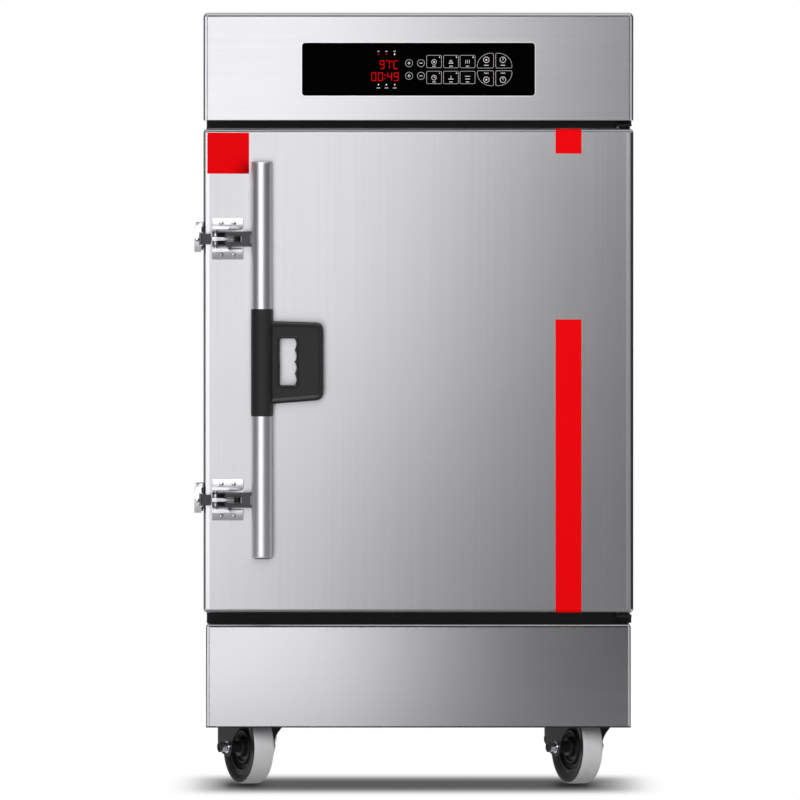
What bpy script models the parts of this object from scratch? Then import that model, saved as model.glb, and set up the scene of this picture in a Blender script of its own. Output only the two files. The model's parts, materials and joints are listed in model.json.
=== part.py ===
"""Rice steamer cabinet: a stainless cabinet on four swivel castors, with eight trays inside.

Metres, +Z up. The front faces -Y. Sizes are worked out from the named values below.
The cabinet is drawn with x = 0 on its middle plane and y = 0 on the front of its door,
and one empty at the end puts the middle of its bounding box over the world origin.
"""

import math

import bmesh
import bpy
from mathutils import Matrix, Vector

# Whole cabinet, whose width, depth and height follow from the trays
SIDE_WALL = 0.035
REAR_BAY = 0.0441
OVERHANG = 0.005
BASE_OVERHANG = 0.001
BASE_BOTTOM = 0.094
BASE_HEIGHT = 0.169
LOWER_GAP = 0.018
UPPER_GAP = 0.0135
CAP_HEIGHT = 0.1755
DOOR_THICKNESS = 0.050
DOOR_BACK_GAP = 0.006

# Sheet, clearances and facets
SHEET = 0.0012
BASE_SHEET = 0.0015
SEAT = 0.0003
OVERRUN = 0.002
MERGE = 0.000003
BEND = 0.006
BEND_STEPS = 3
BEND_PROFILE_SHARE = 0.5
ROUND_STEPS = 24
WHEEL_STEPS = 20
PIPE_STEPS = 16
SMALL_STEPS = 12
CORNER_STEPS = 4
TRAY_CORNER_STEPS = 2

# Steam chamber, with a water sump behind the sill
TRAY_SIDE_CLEARANCE = 0.010
TRAY_FRONT_CLEARANCE = 0.008
TRAY_BACK_CLEARANCE = 0.017
FLOOR_INSULATION = 0.037
ROOF_INSULATION = 0.0475
BACK_INSULATION = 0.027
SUMP_DEPTH = 0.065
RETURN_LIP = 0.015

# Trays and the racks that carry them
TRAY_COUNT = 8
TRAY_PITCH = 0.078
FIRST_LEDGE = 0.025
TRAY_TOP_CLEARANCE = 0.021
TRAY_LENGTH = 0.600
TRAY_WIDTH = 0.400
TRAY_HEIGHT = 0.048
TRAY_SHEET = 0.001
TRAY_RIM = 0.008
TRAY_DRAFT = 0.009
TRAY_LIP = 0.006
TRAY_CORNER = 0.028
RACK_SHEET = 0.0015
LEDGE_REACH = 0.035
RACK_FOOT = 0.012
RACK_HEAD = 0.030

# Baffle over the water, and its steam slots
BAFFLE_SHEET = 0.002
BAFFLE_RISE = 0.007
SLOT_LENGTH = 0.090
SLOT_WIDTH = 0.014
SLOT_CORNER = 0.0045
SLOT_COLUMNS = 4
SLOT_ROWS = 4
SLOT_PITCH_X = 0.130
SLOT_PITCH_Y = 0.090

# Heating element
HEATER_TUBES = 3
HEATER_TUBE_RADIUS = 0.005
HEATER_HAIRPIN = 0.060
HEATER_PITCH = 0.090
HEATER_REACH = 0.330
HEATER_HEIGHT = 0.024
HEATER_FLANGE_WIDTH = 0.270
HEATER_FLANGE_HEIGHT = 0.036
HEATER_FLANGE_THICKNESS = 0.006
HEATER_NECK_MARGIN = 0.008
TERMINAL_RADIUS = 0.003
TERMINAL_LENGTH = 0.012

# Pipes through the back
VENT_RADIUS = 0.014
VENT_BORE = 0.0115
VENT_DROP = 0.050
VENT_INSET = 0.130
VENT_REACH = 0.024
PIPE_FLANGE_RADIUS = 0.022
PIPE_FLANGE_THICKNESS = 0.003
DRAIN_RADIUS = 0.011
DRAIN_INSET = 0.070
DRAIN_RISE = 0.014
VALVE_RADIUS = 0.015
VALVE_LENGTH = 0.040
VALVE_TAPER = 0.013333
VALVE_START = 0.006
NIPPLE_LENGTH = 0.014
NIPPLE_BORE = 0.0075
NIPPLE_DEPTH = 0.026
STEM_RADIUS = 0.005
STEM_HEIGHT = 0.032
LEVER_LIFT = 0.020
LEVER_THICKNESS = 0.003
LEVER_LENGTH = 0.072
LEVER_WIDTH = 0.013
LEVER_EYE = 0.010
STEM_NUT = 0.008

# Float tank in the rear bay
TANK_INSET = 0.170
TANK_WIDTH = 0.180
TANK_DROP = 0.015
TANK_HEIGHT = 0.120
TANK_WALL = 0.0012
TANK_CLEARANCE = 0.0015
LINK_RADIUS = 0.008
LINK_BORE = 0.005
LINK_INSET = 0.022
LINK_RISE = 0.030
SPIGOT_RADIUS = 0.010
SPIGOT_BORE = 0.0065
SPIGOT_DEPTH = 0.018
SPIGOT_REACH = 0.016
SPIGOT_DROP = 0.016
FLOAT_PIN_RADIUS = 0.002
FLOAT_PIN_INSET = 0.020
FLOAT_PIN_DROP = 0.020
FLOAT_ARM_LENGTH = 0.085
FLOAT_ARM_THICKNESS = 0.004
FLOAT_HUB_RADIUS = 0.006
FLOAT_BALL_RADIUS = 0.015
FLOAT_HANG = math.radians(35)

# Base, chassis plate and neck strips
BASE_BEND = 0.006
CHASSIS_THICKNESS = 0.003
CHASSIS_LIP = 0.016
CHASSIS_LIP_THICKNESS = 0.002
NECK_DEPTH = 0.016
NECK_CLEARANCE = 0.001
NECK_LIP = 0.003

# Castors
WHEEL_RADIUS = 0.060
WHEEL_WIDTH = 0.035
TREAD_SHOULDER = 0.006
TREAD_LIP = 0.002
TREAD_DEPTH = 0.011
RIM_DEPTH = 0.005
WEB_HALF = 0.007
HUB_RADIUS = 0.016
HUB_HALF = 0.019
AXLE_RADIUS = 0.006
TRAIL = 0.021
CASTOR_TURN = math.radians(26.1)
KING_PIN_INSET = 0.0765
KING_PIN_RADIUS = 0.008
CROWN_CLEARANCE = 0.007
CROWN_THICKNESS = 0.003
CROWN_RADIUS = 0.028
RACE_RADIUS = 0.025
RACE_HEIGHT = 0.012
PLATE_THICKNESS = 0.004
PLATE_SIDE = 0.084
PLATE_CORNER = 0.008
PIN_HEAD_RADIUS = 0.013
PIN_HEAD_HEIGHT = 0.004
LEG_THICKNESS = 0.003
LEG_CLEARANCE = 0.0015
LEG_TOP_FRONT = 0.020
LEG_TOP_BACK = 0.026
LEG_EYE = 0.012
NUT_RADIUS = 0.011
NUT_HEIGHT = 0.008
BOLT_TAIL = 0.010
BOLT_HEAD_RADIUS = 0.010
BOLT_HEAD_HEIGHT = 0.006

# Cap, its control panel and what it houses
DECK_SHEET = 0.0015
PANEL_WIDTH = 0.379
PANEL_HEIGHT = 0.086
PANEL_THICKNESS = 0.002
PANEL_CORNER = 0.005
PANEL_DROP = 0.049
WINDOW_MARGIN = 0.010
BOARD_WIDTH = 0.300
BOARD_HEIGHT = 0.056
BOARD_THICKNESS = 0.0016
BOARD_SETBACK = 0.012
STANDOFF_RADIUS = 0.003
STANDOFF_INSET = 0.008
DISPLAY_WIDTH = 0.060
DISPLAY_HEIGHT = 0.036
DISPLAY_DEPTH = 0.007
RELAY_COUNT = 4
RELAY_WIDTH = 0.019
RELAY_DEPTH = 0.015
RELAY_HEIGHT = 0.022
RELAY_PITCH = 0.034
CONTACTOR_WIDTH = 0.075
CONTACTOR_DEPTH = 0.082
CONTACTOR_HEIGHT = 0.050
CONTACTOR_STEP = 0.018
CONTACTOR_NOSE = 0.035
CONTACTOR_INSET_X = 0.170
CONTACTOR_INSET_Y = 0.226
GLAND_INSET = 0.110
GLAND_RISE = 0.036
GLAND_THREAD = 0.008
GLAND_NUT = 0.0125
GLAND_NUT_LENGTH = 0.006
GLAND_DOME_LENGTH = 0.016
GLAND_MOUTH = 0.0055
LOUVRE_COUNT = 6
LOUVRE_LENGTH = 0.110
LOUVRE_WIDTH = 0.006
LOUVRE_PITCH = 0.016
LOUVRE_RISE = 0.044

# Door
GASKET_WIDTH = 0.014
GASKET_SIDE_INSET = 0.020
GASKET_BOTTOM_INSET = 0.019
GASKET_TOP_INSET = 0.014
GASKET_CORNER = 0.020
INNER_DISH = 0.010
INNER_DISH_MARGIN = 0.040
HINGE_INSET = 0.015
HINGE_PIN_RADIUS = 0.005
HINGE_PIN_LENGTH = 0.015
HINGE_PIN_CLEARANCE = 0.0004
HINGE_POCKET = 0.008
BRACKET_THICKNESS = 0.004
BRACKET_LIFT = 0.004
BRACKET_HALF_WIDTH = 0.0125
BRACKET_NOSE = 0.012
BRACKET_TAB = 0.003

# Handle rod and its grip
ROD_RADIUS = 0.017
ROD_OUTREACH = 0.076
ROD_WALL = 0.0015
ROD_STAND = 0.050
ROD_FOOT = 0.0951
ROD_HEAD = 0.1261
ROD_CHAMFER = 0.003
SLEEVE_RADIUS = 0.0193
GRIP_DROP = 0.0755
GRIP_LENGTH = 0.1746
LOOP_RIGHT = 0.0998
LOOP_TOP_INNER = 0.0194
LOOP_TOP_OUTER = 0.0225
LOOP_BOTTOM_INNER = 0.0194
LOOP_BOTTOM_OUTER = 0.0266
LOOP_CORNER = 0.012
LOOP_THICKNESS = 0.016
LOOP_EDGE = 0.0025
GRIP_WINDOW_LEFT = 0.029
GRIP_WINDOW_RIGHT = 0.0545
GRIP_WINDOW_BOTTOM = 0.0505
GRIP_WINDOW_HEIGHT = 0.076
GRIP_WINDOW_CORNER = 0.006
SCALLOPS = 4
SCALLOP_RISE = 0.0035
SCALLOP_STEPS = 5

# Toggle latches
LOWER_LATCH_RISE = 0.1841
UPPER_LATCH_DROP = 0.1791
PIVOT_INSET = 0.0197
PIVOT_STAND = 0.013
CLAW_PIVOT_OFFSET = 0.033
LATCH_PIN_RADIUS = 0.003
BASE_PLATE_WIDTH = 0.051
BASE_PLATE_HEIGHT = 0.067
BASE_PLATE_LEFT = 0.0057
BASE_PLATE_THICKNESS = 0.002
BASE_PLATE_CORNER = 0.003
WING_HEIGHT = 0.0165
WING_THICKNESS = 0.003
EAR_INNER = 0.0150
EAR_THICKNESS = 0.0018
EAR_STAND = 0.021
EAR_LENGTH = 0.036
EAR_SLANT = 0.008
SCREW_RADIUS = 0.0036
SCREW_DOME = 0.0022
SCREW_RIM_SHARE = 0.33
SCREW_SPACING_X = 0.020
SCREW_SPACING_Z = 0.0514
LEVER_HALF_HEIGHT = 0.0123
LEVER_CHEEK = 0.002
LEVER_WEB = 0.0025
LEVER_END_RADIUS = 0.006
LEVER_KNEE = 0.018
LEVER_FLAT = 0.040
LEVER_STAND = 0.026
LEVER_BACK = 0.0075
LEVER_SLOT_HALF = 0.0044
LEVER_SLOT_LENGTH = 0.042
LEVER_ARM_HALF = 0.009
CLAW_PIN_RADIUS = 0.002
CLAW_EYE = 0.0052
CLAW_BAR_HALF = 0.0037
CLAW_BAR_THICKNESS = 0.0035
CLAW_BAR_CLEARANCE = 0.0012
STRAP_HALF = 0.0088
STRAP_START = 0.0072
STRAP_THICKNESS = 0.0025
STRAP_DOOR_CLEARANCE = 0.0015
STRAP_NOSE = 0.0015
STRAP_NOSE_LENGTH = 0.0025
STRAP_TIP_DEPTH = 0.0025

# Keepers on the left side
KEEPER_OUTREACH = 0.015
KEEPER_SIDE_CLEARANCE = 0.0015
KEEPER_BELOW = 0.016
KEEPER_ABOVE = 0.027
KEEPER_SHEET = 0.003
KEEPER_FRONT = 0.002
KEEPER_STEP = 0.008
KEEPER_LEG = 0.045
KEEPER_SLANT = 0.010
KEEPER_NOTCH_HALF = 0.0100
KEEPER_NOTCH_DEPTH = 0.0060
KEEPER_SCREW_X = 0.0040
KEEPER_SCREW_SPREAD = 0.0107

# Levels and planes worked out from the driving sizes
CHAMBER_WIDTH = TRAY_LENGTH + 2 * TRAY_SIDE_CLEARANCE
CHAMBER_DEPTH = TRAY_FRONT_CLEARANCE + TRAY_WIDTH + TRAY_BACK_CLEARANCE
BODY_WIDTH = CHAMBER_WIDTH + 2 * SIDE_WALL
CAP_WIDTH = BODY_WIDTH + 2 * OVERHANG
BASE_WIDTH = BODY_WIDTH + 2 * BASE_OVERHANG
BASE_TOP = BASE_BOTTOM + BASE_HEIGHT
DOOR_BOTTOM = BASE_TOP + LOWER_GAP
CHAMBER_FLOOR = BASE_TOP + FLOOR_INSULATION
SILL = CHAMBER_FLOOR + SUMP_DEPTH
CHAMBER_ROOF = SILL + FIRST_LEDGE + TRAY_COUNT * TRAY_PITCH + TRAY_TOP_CLEARANCE
CAP_BOTTOM = CHAMBER_ROOF + ROOF_INSULATION
CAP_TOP = CAP_BOTTOM + CAP_HEIGHT
DOOR_TOP = CAP_BOTTOM - UPPER_GAP
BODY_FRONT = DOOR_THICKNESS + DOOR_BACK_GAP
SIDE_INNER = BODY_WIDTH / 2 - SHEET - SEAT
CHAMBER_HALF = CHAMBER_WIDTH / 2
CHAMBER_FRONT = BODY_FRONT + SHEET
CHAMBER_BACK = CHAMBER_FRONT + CHAMBER_DEPTH
INSULATION_BACK = CHAMBER_BACK + SHEET + SEAT + BACK_INSULATION
BACK_INNER = INSULATION_BACK + REAR_BAY
DEPTH = BACK_INNER + SHEET
LEDGE_INNER_HALF = CHAMBER_HALF - LEDGE_REACH
VENT_X = VENT_INSET - CHAMBER_HALF
VENT_Z = CHAMBER_ROOF - VENT_DROP
DRAIN_X = DRAIN_INSET - CHAMBER_HALF
CONTACTOR_X = CAP_WIDTH / 2 - CONTACTOR_INSET_X
CONTACTOR_Y = DEPTH - CONTACTOR_INSET_Y
GLAND_X = CAP_WIDTH / 2 - GLAND_INSET
GASKET_OUTER_HALF = CAP_WIDTH / 2 - GASKET_SIDE_INSET
TRAY_Y = CHAMBER_FRONT + TRAY_FRONT_CLEARANCE + TRAY_WIDTH / 2
DRAIN_Z = CHAMBER_FLOOR + DRAIN_RISE
HEATER_Z = CHAMBER_FLOOR + HEATER_HEIGHT
TANK_BOTTOM = CHAMBER_FLOOR - TANK_DROP
TANK_TOP = TANK_BOTTOM + TANK_HEIGHT
TANK_LEFT = CHAMBER_HALF - TANK_INSET
TANK_RIGHT = TANK_LEFT + TANK_WIDTH
TANK_FRONT = INSULATION_BACK + TANK_CLEARANCE
TANK_BACK = BACK_INNER - SEAT
LINK_X = TANK_LEFT + LINK_INSET
LINK_Z = TANK_BOTTOM + LINK_RISE
SPIGOT_Z = TANK_TOP - SPIGOT_DROP
FLOAT_X = TANK_RIGHT - FLOAT_PIN_INSET
FLOAT_Z = TANK_TOP - FLOAT_PIN_DROP
CROWN_BOTTOM = 2 * WHEEL_RADIUS + CROWN_CLEARANCE
CROWN_TOP = CROWN_BOTTOM + CROWN_THICKNESS
PLATE_BOTTOM = CROWN_TOP + SEAT + RACE_HEIGHT
PLATE_TOP = PLATE_BOTTOM + PLATE_THICKNESS
CHASSIS_BOTTOM = PLATE_TOP + SEAT
CHASSIS_HALF = BASE_WIDTH / 2 - BASE_SHEET - SEAT
CASTOR_X = BASE_WIDTH / 2 - BASE_SHEET - KING_PIN_INSET
CASTOR_FRONT = BASE_SHEET + KING_PIN_INSET
CASTOR_BACK = DEPTH - BASE_SHEET - KING_PIN_INSET
PANEL_Z = CAP_TOP - PANEL_DROP - PANEL_HEIGHT / 2
HINGE_X = CAP_WIDTH / 2 - HINGE_INSET
HINGE_Y = DOOR_THICKNESS / 2
PIVOT_X = PIVOT_INSET - CAP_WIDTH / 2
PIVOT_Y = -PIVOT_STAND
ROD_X = PIVOT_X + ROD_OUTREACH
CLAW_PIVOT_X = PIVOT_X + CLAW_PIVOT_OFFSET
LATCH_LEVELS = {
    "lower": DOOR_BOTTOM + LOWER_LATCH_RISE,
    "upper": DOOR_TOP - UPPER_LATCH_DROP,
}
LATCH_CENTRE = (LATCH_LEVELS["lower"] + LATCH_LEVELS["upper"]) / 2
ROD_BOTTOM = LATCH_LEVELS["lower"] - ROD_FOOT
ROD_LENGTH = LATCH_LEVELS["upper"] + ROD_HEAD - ROD_BOTTOM
GRIP_BOTTOM = LATCH_CENTRE - GRIP_DROP
DOOR_EDGE = -CAP_WIDTH / 2
KEEPER_LEFT = DOOR_EDGE - KEEPER_OUTREACH
ROD_Y = -ROD_STAND
VALVE_END = DEPTH + VALVE_START + VALVE_LENGTH + NIPPLE_LENGTH
FRONT_REACH = ROD_STAND + SLEEVE_RADIUS

# Colour, metallic and roughness of each finish
FINISHES = {
    "stainless": ((0.72, 0.72, 0.74), 1.0, 0.34),
    "polished": ((0.80, 0.80, 0.82), 1.0, 0.12),
    "zinc": ((0.55, 0.55, 0.57), 1.0, 0.42),
    "black_plastic": ((0.03, 0.03, 0.035), 0.0, 0.45),
    "grip_plastic": ((0.045, 0.045, 0.048), 0.0, 0.50),
    "dark_steel": ((0.08, 0.08, 0.085), 0.6, 0.40),
    "panel_gloss": ((0.006, 0.006, 0.007), 0.0, 0.15),
    "insulation": ((0.78, 0.72, 0.50), 0.0, 0.95),
    "seal_rubber": ((0.05, 0.05, 0.05), 0.0, 0.70),
    "wheel_grey": ((0.42, 0.42, 0.43), 0.0, 0.60),
    "copper_sheath": ((0.50, 0.42, 0.34), 1.0, 0.38),
    "brass_fitting": ((0.70, 0.55, 0.28), 1.0, 0.30),
    "float_plastic": ((0.75, 0.30, 0.10), 0.0, 0.45),
}


def clear_scene():
    """Remove the objects that a new file holds."""
    for old in list(bpy.data.objects):
        bpy.data.objects.remove(old, do_unlink=True)


def finish_of(name, kind):
    """A Principled material of its own for one piece."""
    colour, metallic, roughness = FINISHES[kind]
    material = bpy.data.materials.new(name + "_finish")
    material.use_nodes = True
    shader = material.node_tree.nodes["Principled BSDF"]
    shader.inputs["Base Color"].default_value = (*colour, 1)
    shader.inputs["Metallic"].default_value = metallic
    shader.inputs["Roughness"].default_value = roughness
    return material


def from_bmesh(mesh_data, name="shape"):
    """Put a bmesh into a new object, faces outwards."""
    bmesh.ops.recalc_face_normals(mesh_data, faces=mesh_data.faces)
    mesh = bpy.data.meshes.new(name)
    mesh_data.to_mesh(mesh)
    mesh_data.free()
    shape = bpy.data.objects.new(name, mesh)
    bpy.context.scene.collection.objects.link(shape)
    return shape


def block(x, y, z):
    """A box between two values on each axis."""
    return bent_box(x, y, z, 0, None)


def bent_box(x, y, z, radius, open_side, steps=BEND_STEPS):
    """A box whose edges are rounded, apart from those of one open side such as '-z'."""
    mesh_data = bmesh.new()
    bmesh.ops.create_cube(mesh_data, size=1)
    spans = [sorted(pair) for pair in (x, y, z)]
    for vert in mesh_data.verts:
        vert.co = [low if co < 0 else high for co, (low, high) in zip(vert.co, spans)]
    if radius > 0:
        axis = "xyz".index(open_side[1])
        limit = spans[axis][0] if open_side[0] == "-" else spans[axis][1]
        bent = [e for e in mesh_data.edges if any(abs(v.co[axis] - limit) > SEAT for v in e.verts)]
        bmesh.ops.bevel(
            mesh_data,
            geom=bent,
            offset=radius,
            segments=steps,
            profile=BEND_PROFILE_SHARE,
            affect="EDGES",
        )
    return from_bmesh(mesh_data)


def prism(points, axis, low, high):
    """A flat outline carried along one axis. Points lie in the two other axes, in order."""
    along = "xyz".index(axis)
    mesh_data = bmesh.new()
    ring = []
    for first, second in points:
        place = [first, second]
        place.insert(along, low)
        ring.append(mesh_data.verts.new(place))
    face = mesh_data.faces.new(ring)
    sweep = bmesh.ops.extrude_face_region(mesh_data, geom=[face])
    step = [0, 0, 0]
    step[along] = high - low
    moved = [item for item in sweep["geom"] if isinstance(item, bmesh.types.BMVert)]
    bmesh.ops.translate(mesh_data, verts=moved, vec=step)
    return from_bmesh(mesh_data)


def turned(profile, centre, axis, steps=ROUND_STEPS, closed=False, start=0):
    """A profile of (radius, height) pairs spun round an axis through centre."""
    along = "xyz".index(axis)
    mesh_data = bmesh.new()
    verts = []
    for radius, height in profile:
        place = [radius * math.cos(start), radius * math.sin(start)]
        place.insert(along, height)
        verts.append(mesh_data.verts.new(place))
    edges = [mesh_data.edges.new(pair) for pair in zip(verts, verts[1:])]
    if closed:
        edges.append(mesh_data.edges.new((verts[-1], verts[0])))
    direction = [0, 0, 0]
    direction[along] = 1
    bmesh.ops.spin(
        mesh_data,
        geom=verts + edges,
        cent=(0, 0, 0),
        axis=direction,
        angle=math.tau,
        steps=steps,
        use_merge=True,
    )
    bmesh.ops.remove_doubles(mesh_data, verts=mesh_data.verts, dist=MERGE)
    bmesh.ops.translate(mesh_data, verts=mesh_data.verts, vec=centre)
    return from_bmesh(mesh_data)


def rod(centre, axis, radius, low, high, steps=SMALL_STEPS, start=0):
    """A plain cylinder between two heights on an axis through centre."""
    profile = [(0, low), (radius, low), (radius, high), (0, high)]
    return turned(profile, centre, axis, steps, start=start)


def arc(centre, radius, first, last, steps):
    """Points along an arc, angles in degrees, both ends included."""
    turn = [math.radians(first + (last - first) * k / steps) for k in range(steps + 1)]
    return [(centre[0] + radius * math.cos(a), centre[1] + radius * math.sin(a)) for a in turn]


def rounded(x, y, radius, steps=CORNER_STEPS):
    """The outline of a rectangle with round corners, anticlockwise."""
    corners = [(x[1], y[1], 1, 1), (x[0], y[1], -1, 1), (x[0], y[0], -1, -1), (x[1], y[0], 1, -1)]
    points = []
    for k, (cx, cy, sx, sy) in enumerate(corners):
        centre = (cx - sx * radius, cy - sy * radius)
        points += arc(centre, radius, 90 * k, 90 * (k + 1), steps)
    return points


def mirrored(points):
    """An outline with its first coordinate turned round."""
    return [(-first, second) for first, second in points]


def baked(shape):
    """Replace a shape's mesh by what its modifiers make of it."""
    bpy.context.view_layer.update()
    graph = bpy.context.evaluated_depsgraph_get()
    mesh = bpy.data.meshes.new_from_object(shape.evaluated_get(graph))
    shape.modifiers.clear()
    shape.data = mesh
    return shape


def fused(adds, cuts=()):
    """Join overlapping shapes into one body and take the cutters out of it."""
    base = adds[0]
    for other, operation in [(s, "UNION") for s in adds[1:]] + [(s, "DIFFERENCE") for s in cuts]:
        step = base.modifiers.new(operation.lower(), "BOOLEAN")
        step.operation = operation
        step.solver = "EXACT"
        step.object = other
    baked(base)
    for helper in list(adds[1:]) + list(cuts):
        bpy.data.objects.remove(helper, do_unlink=True)
    return base


def gathered(shapes):
    """Put separate cutters into one object, so that one cut takes them all."""
    mesh_data = bmesh.new()
    for shape in shapes:
        mesh_data.from_mesh(shape.data)
        bpy.data.objects.remove(shape, do_unlink=True)
    return from_bmesh(mesh_data)


def frame(name, parent, place, turn=0):
    """An empty that stands on a joint's axis and carries the pieces that move with it."""
    empty = bpy.data.objects.new(name, None)
    bpy.context.scene.collection.objects.link(empty)
    empty.parent = parent
    empty.location = place
    empty.rotation_euler = (0, 0, turn)
    return empty


def piece(name, shape, kind, parent, offset=(0, 0, 0), smooth=False):
    """Name a shape, give it its finish and hang it on its parent."""
    shape.name = name
    shape.data.name = name
    shape.data.materials.clear()
    shape.data.materials.append(finish_of(name, kind))
    if smooth:
        shape.data.shade_smooth()
        shape.data.set_sharp_from_angle(angle=math.radians(35))
    shape.parent = parent
    shape.location = -Vector(offset)
    return shape


def copy_of(shape, name):
    """A second object on the same mesh."""
    twin = bpy.data.objects.new(name, shape.data)
    bpy.context.scene.collection.objects.link(twin)
    return twin


def screw_head(centre, axis, sign, radius=SCREW_RADIUS, height=SCREW_DOME):
    """A low domed screw head that stands out of a plate."""
    rim = height * SCREW_RIM_SHARE
    profile = [(0, -SEAT), (radius, -SEAT), (radius, rim), (radius / 2, height), (0, height)]
    return turned([(r, sign * h) for r, h in profile], centre, axis, SMALL_STEPS)


def make_liner(cabinet):
    """Steam chamber: a liner with the front flange that the gasket meets, and the water sump below."""
    joint = SILL + SEAT
    outer = block(
        (-CHAMBER_HALF - SHEET, CHAMBER_HALF + SHEET),
        (BODY_FRONT, CHAMBER_BACK + SHEET),
        (joint, CHAMBER_ROOF + SHEET),
    )
    flange = block(
        (-SIDE_INNER, SIDE_INNER), (BODY_FRONT, CHAMBER_FRONT), (BASE_TOP + SEAT, CAP_BOTTOM - SEAT)
    )
    hollow = block(
        (-CHAMBER_HALF, CHAMBER_HALF), (CHAMBER_FRONT, CHAMBER_BACK), (SILL, CHAMBER_ROOF)
    )
    mouth = block(
        (-CHAMBER_HALF, CHAMBER_HALF),
        (BODY_FRONT - OVERRUN, CHAMBER_FRONT + OVERRUN),
        (SILL, CHAMBER_ROOF),
    )
    through = (CHAMBER_BACK - OVERRUN, CHAMBER_BACK + SHEET + OVERRUN)
    liner = fused([outer, flange], [hollow, mouth, vent_hole(*through)])
    piece("inner_liner", liner, "stainless", cabinet)
    pan = block(
        (-CHAMBER_HALF - SHEET, CHAMBER_HALF + SHEET),
        (CHAMBER_FRONT + SEAT, CHAMBER_BACK + SHEET),
        (CHAMBER_FLOOR - SHEET, SILL),
    )
    water = block(
        (-CHAMBER_HALF, CHAMBER_HALF),
        (CHAMBER_FRONT + SEAT + SHEET, CHAMBER_BACK),
        (CHAMBER_FLOOR, SILL + OVERRUN),
    )
    piece("sump_pan", fused([pan], [water] + sump_holes(*through)), "stainless", cabinet)


def pipe_hole(x, z, radius, low, high):
    """A cutter for a pipe that runs along Y, with its clearance."""
    return rod((x, 0, z), "y", radius + SEAT, low, high, ROUND_STEPS)


def vent_hole(low, high):
    """A cutter for the steam vent."""
    return pipe_hole(VENT_X, VENT_Z, VENT_RADIUS, low, high)


def sump_holes(low, high):
    """Cutters for what passes through the back of the sump: drain, float tank's link and heater."""
    neck_half = HEATER_FLANGE_WIDTH / 2 - HEATER_NECK_MARGIN + SEAT
    neck_rise = HEATER_FLANGE_HEIGHT / 2 - HEATER_NECK_MARGIN + SEAT
    return [
        pipe_hole(DRAIN_X, DRAIN_Z, DRAIN_RADIUS, low, high),
        pipe_hole(LINK_X, LINK_Z, LINK_RADIUS, low, high),
        block((-neck_half, neck_half), (low, high), (HEATER_Z - neck_rise, HEATER_Z + neck_rise)),
    ]


def make_insulation(cabinet):
    """Foam between the chamber and the casing, open at the front where the flange closes it."""
    half = SIDE_INNER
    outer = block(
        (-half, half),
        (CHAMBER_FRONT + SEAT, INSULATION_BACK),
        (BASE_TOP + SEAT, CAP_BOTTOM - SEAT),
    )
    gap = SHEET + SEAT
    hollow = block(
        (-CHAMBER_HALF - gap, CHAMBER_HALF + gap),
        (BODY_FRONT, CHAMBER_BACK + gap),
        (CHAMBER_FLOOR - gap, CHAMBER_ROOF + gap),
    )
    through = (CHAMBER_BACK - OVERRUN, INSULATION_BACK + OVERRUN)
    holes = [hollow, vent_hole(*through)] + sump_holes(*through)
    piece("insulation_foam", fused([outer], holes), "insulation", cabinet)


def make_side(name, cabinet, side):
    """A side panel with a lip folded in behind, on which the back panel seats."""
    outer = BODY_WIDTH / 2
    inner = outer - SHEET
    back = BACK_INNER - SEAT
    outline = [
        (outer, BODY_FRONT),
        (outer, back),
        (outer - RETURN_LIP, back),
        (outer - RETURN_LIP, back - SHEET),
        (inner, back - SHEET),
        (inner, BODY_FRONT),
    ]
    if side < 0:
        outline = mirrored(outline)
    panel = prism(outline, "z", BASE_TOP + SEAT, CAP_BOTTOM - SEAT)
    piece(name, panel, "stainless", cabinet)


def louvres(z_low):
    """Cutters for a stack of vent slots in a sheet at the back."""
    slots = []
    for k in range(LOUVRE_COUNT):
        low = z_low + k * LOUVRE_PITCH
        span = (-LOUVRE_LENGTH / 2, LOUVRE_LENGTH / 2)
        slots.append(block(span, (BACK_INNER - OVERRUN, DEPTH + OVERRUN), (low, low + LOUVRE_WIDTH)))
    return gathered(slots)


def make_back(cabinet):
    """Back panel, with vent slots for the rear bay and a hole for each pipe."""
    sheet = block(
        (-BODY_WIDTH / 2, BODY_WIDTH / 2), (BACK_INNER, DEPTH), (BASE_TOP + SEAT, CAP_BOTTOM - SEAT)
    )
    low, high = BACK_INNER - OVERRUN, DEPTH + OVERRUN
    cuts = [
        pipe_hole(VENT_X, VENT_Z, VENT_RADIUS, low, high),
        pipe_hole(DRAIN_X, DRAIN_Z, DRAIN_RADIUS, low, high),
        pipe_hole(LINK_X, SPIGOT_Z, SPIGOT_RADIUS, low, high),
        louvres((CHAMBER_FLOOR + CHAMBER_ROOF) / 2),
    ]
    piece("back_panel", fused([sheet], cuts), "stainless", cabinet)


def make_cap(cabinet):
    """Hood over the door and body, open below, with a window behind the control panel."""
    half = CAP_WIDTH / 2
    outer = bent_box((-half, half), (0, DEPTH), (CAP_BOTTOM, CAP_TOP), BEND, "-z")
    inner = bent_box(
        (SHEET - half, half - SHEET),
        (SHEET, DEPTH - SHEET),
        (CAP_BOTTOM - OVERRUN, CAP_TOP - SHEET),
        BEND - SHEET,
        "-z",
    )
    window = block(
        (WINDOW_MARGIN - PANEL_WIDTH / 2, PANEL_WIDTH / 2 - WINDOW_MARGIN),
        (-OVERRUN, SHEET + OVERRUN),
        (PANEL_Z - PANEL_HEIGHT / 2 + WINDOW_MARGIN, PANEL_Z + PANEL_HEIGHT / 2 - WINDOW_MARGIN),
    )
    gland = pipe_hole(
        GLAND_X, CAP_BOTTOM + GLAND_RISE, GLAND_THREAD, BACK_INNER - OVERRUN, DEPTH + OVERRUN
    )
    slots = louvres(CAP_BOTTOM + LOUVRE_RISE)
    piece("top_cap", fused([outer], [inner, window, gland, slots]), "stainless", cabinet)
    inset = SHEET + SEAT
    outline = rounded((inset - half, half - inset), (inset, DEPTH - inset), BEND - SHEET)
    deck = prism(outline, "z", CAP_BOTTOM + SEAT / 2, CAP_BOTTOM + SEAT / 2 + DECK_SHEET)
    piece("top_deck", deck, "zinc", cabinet)


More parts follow.
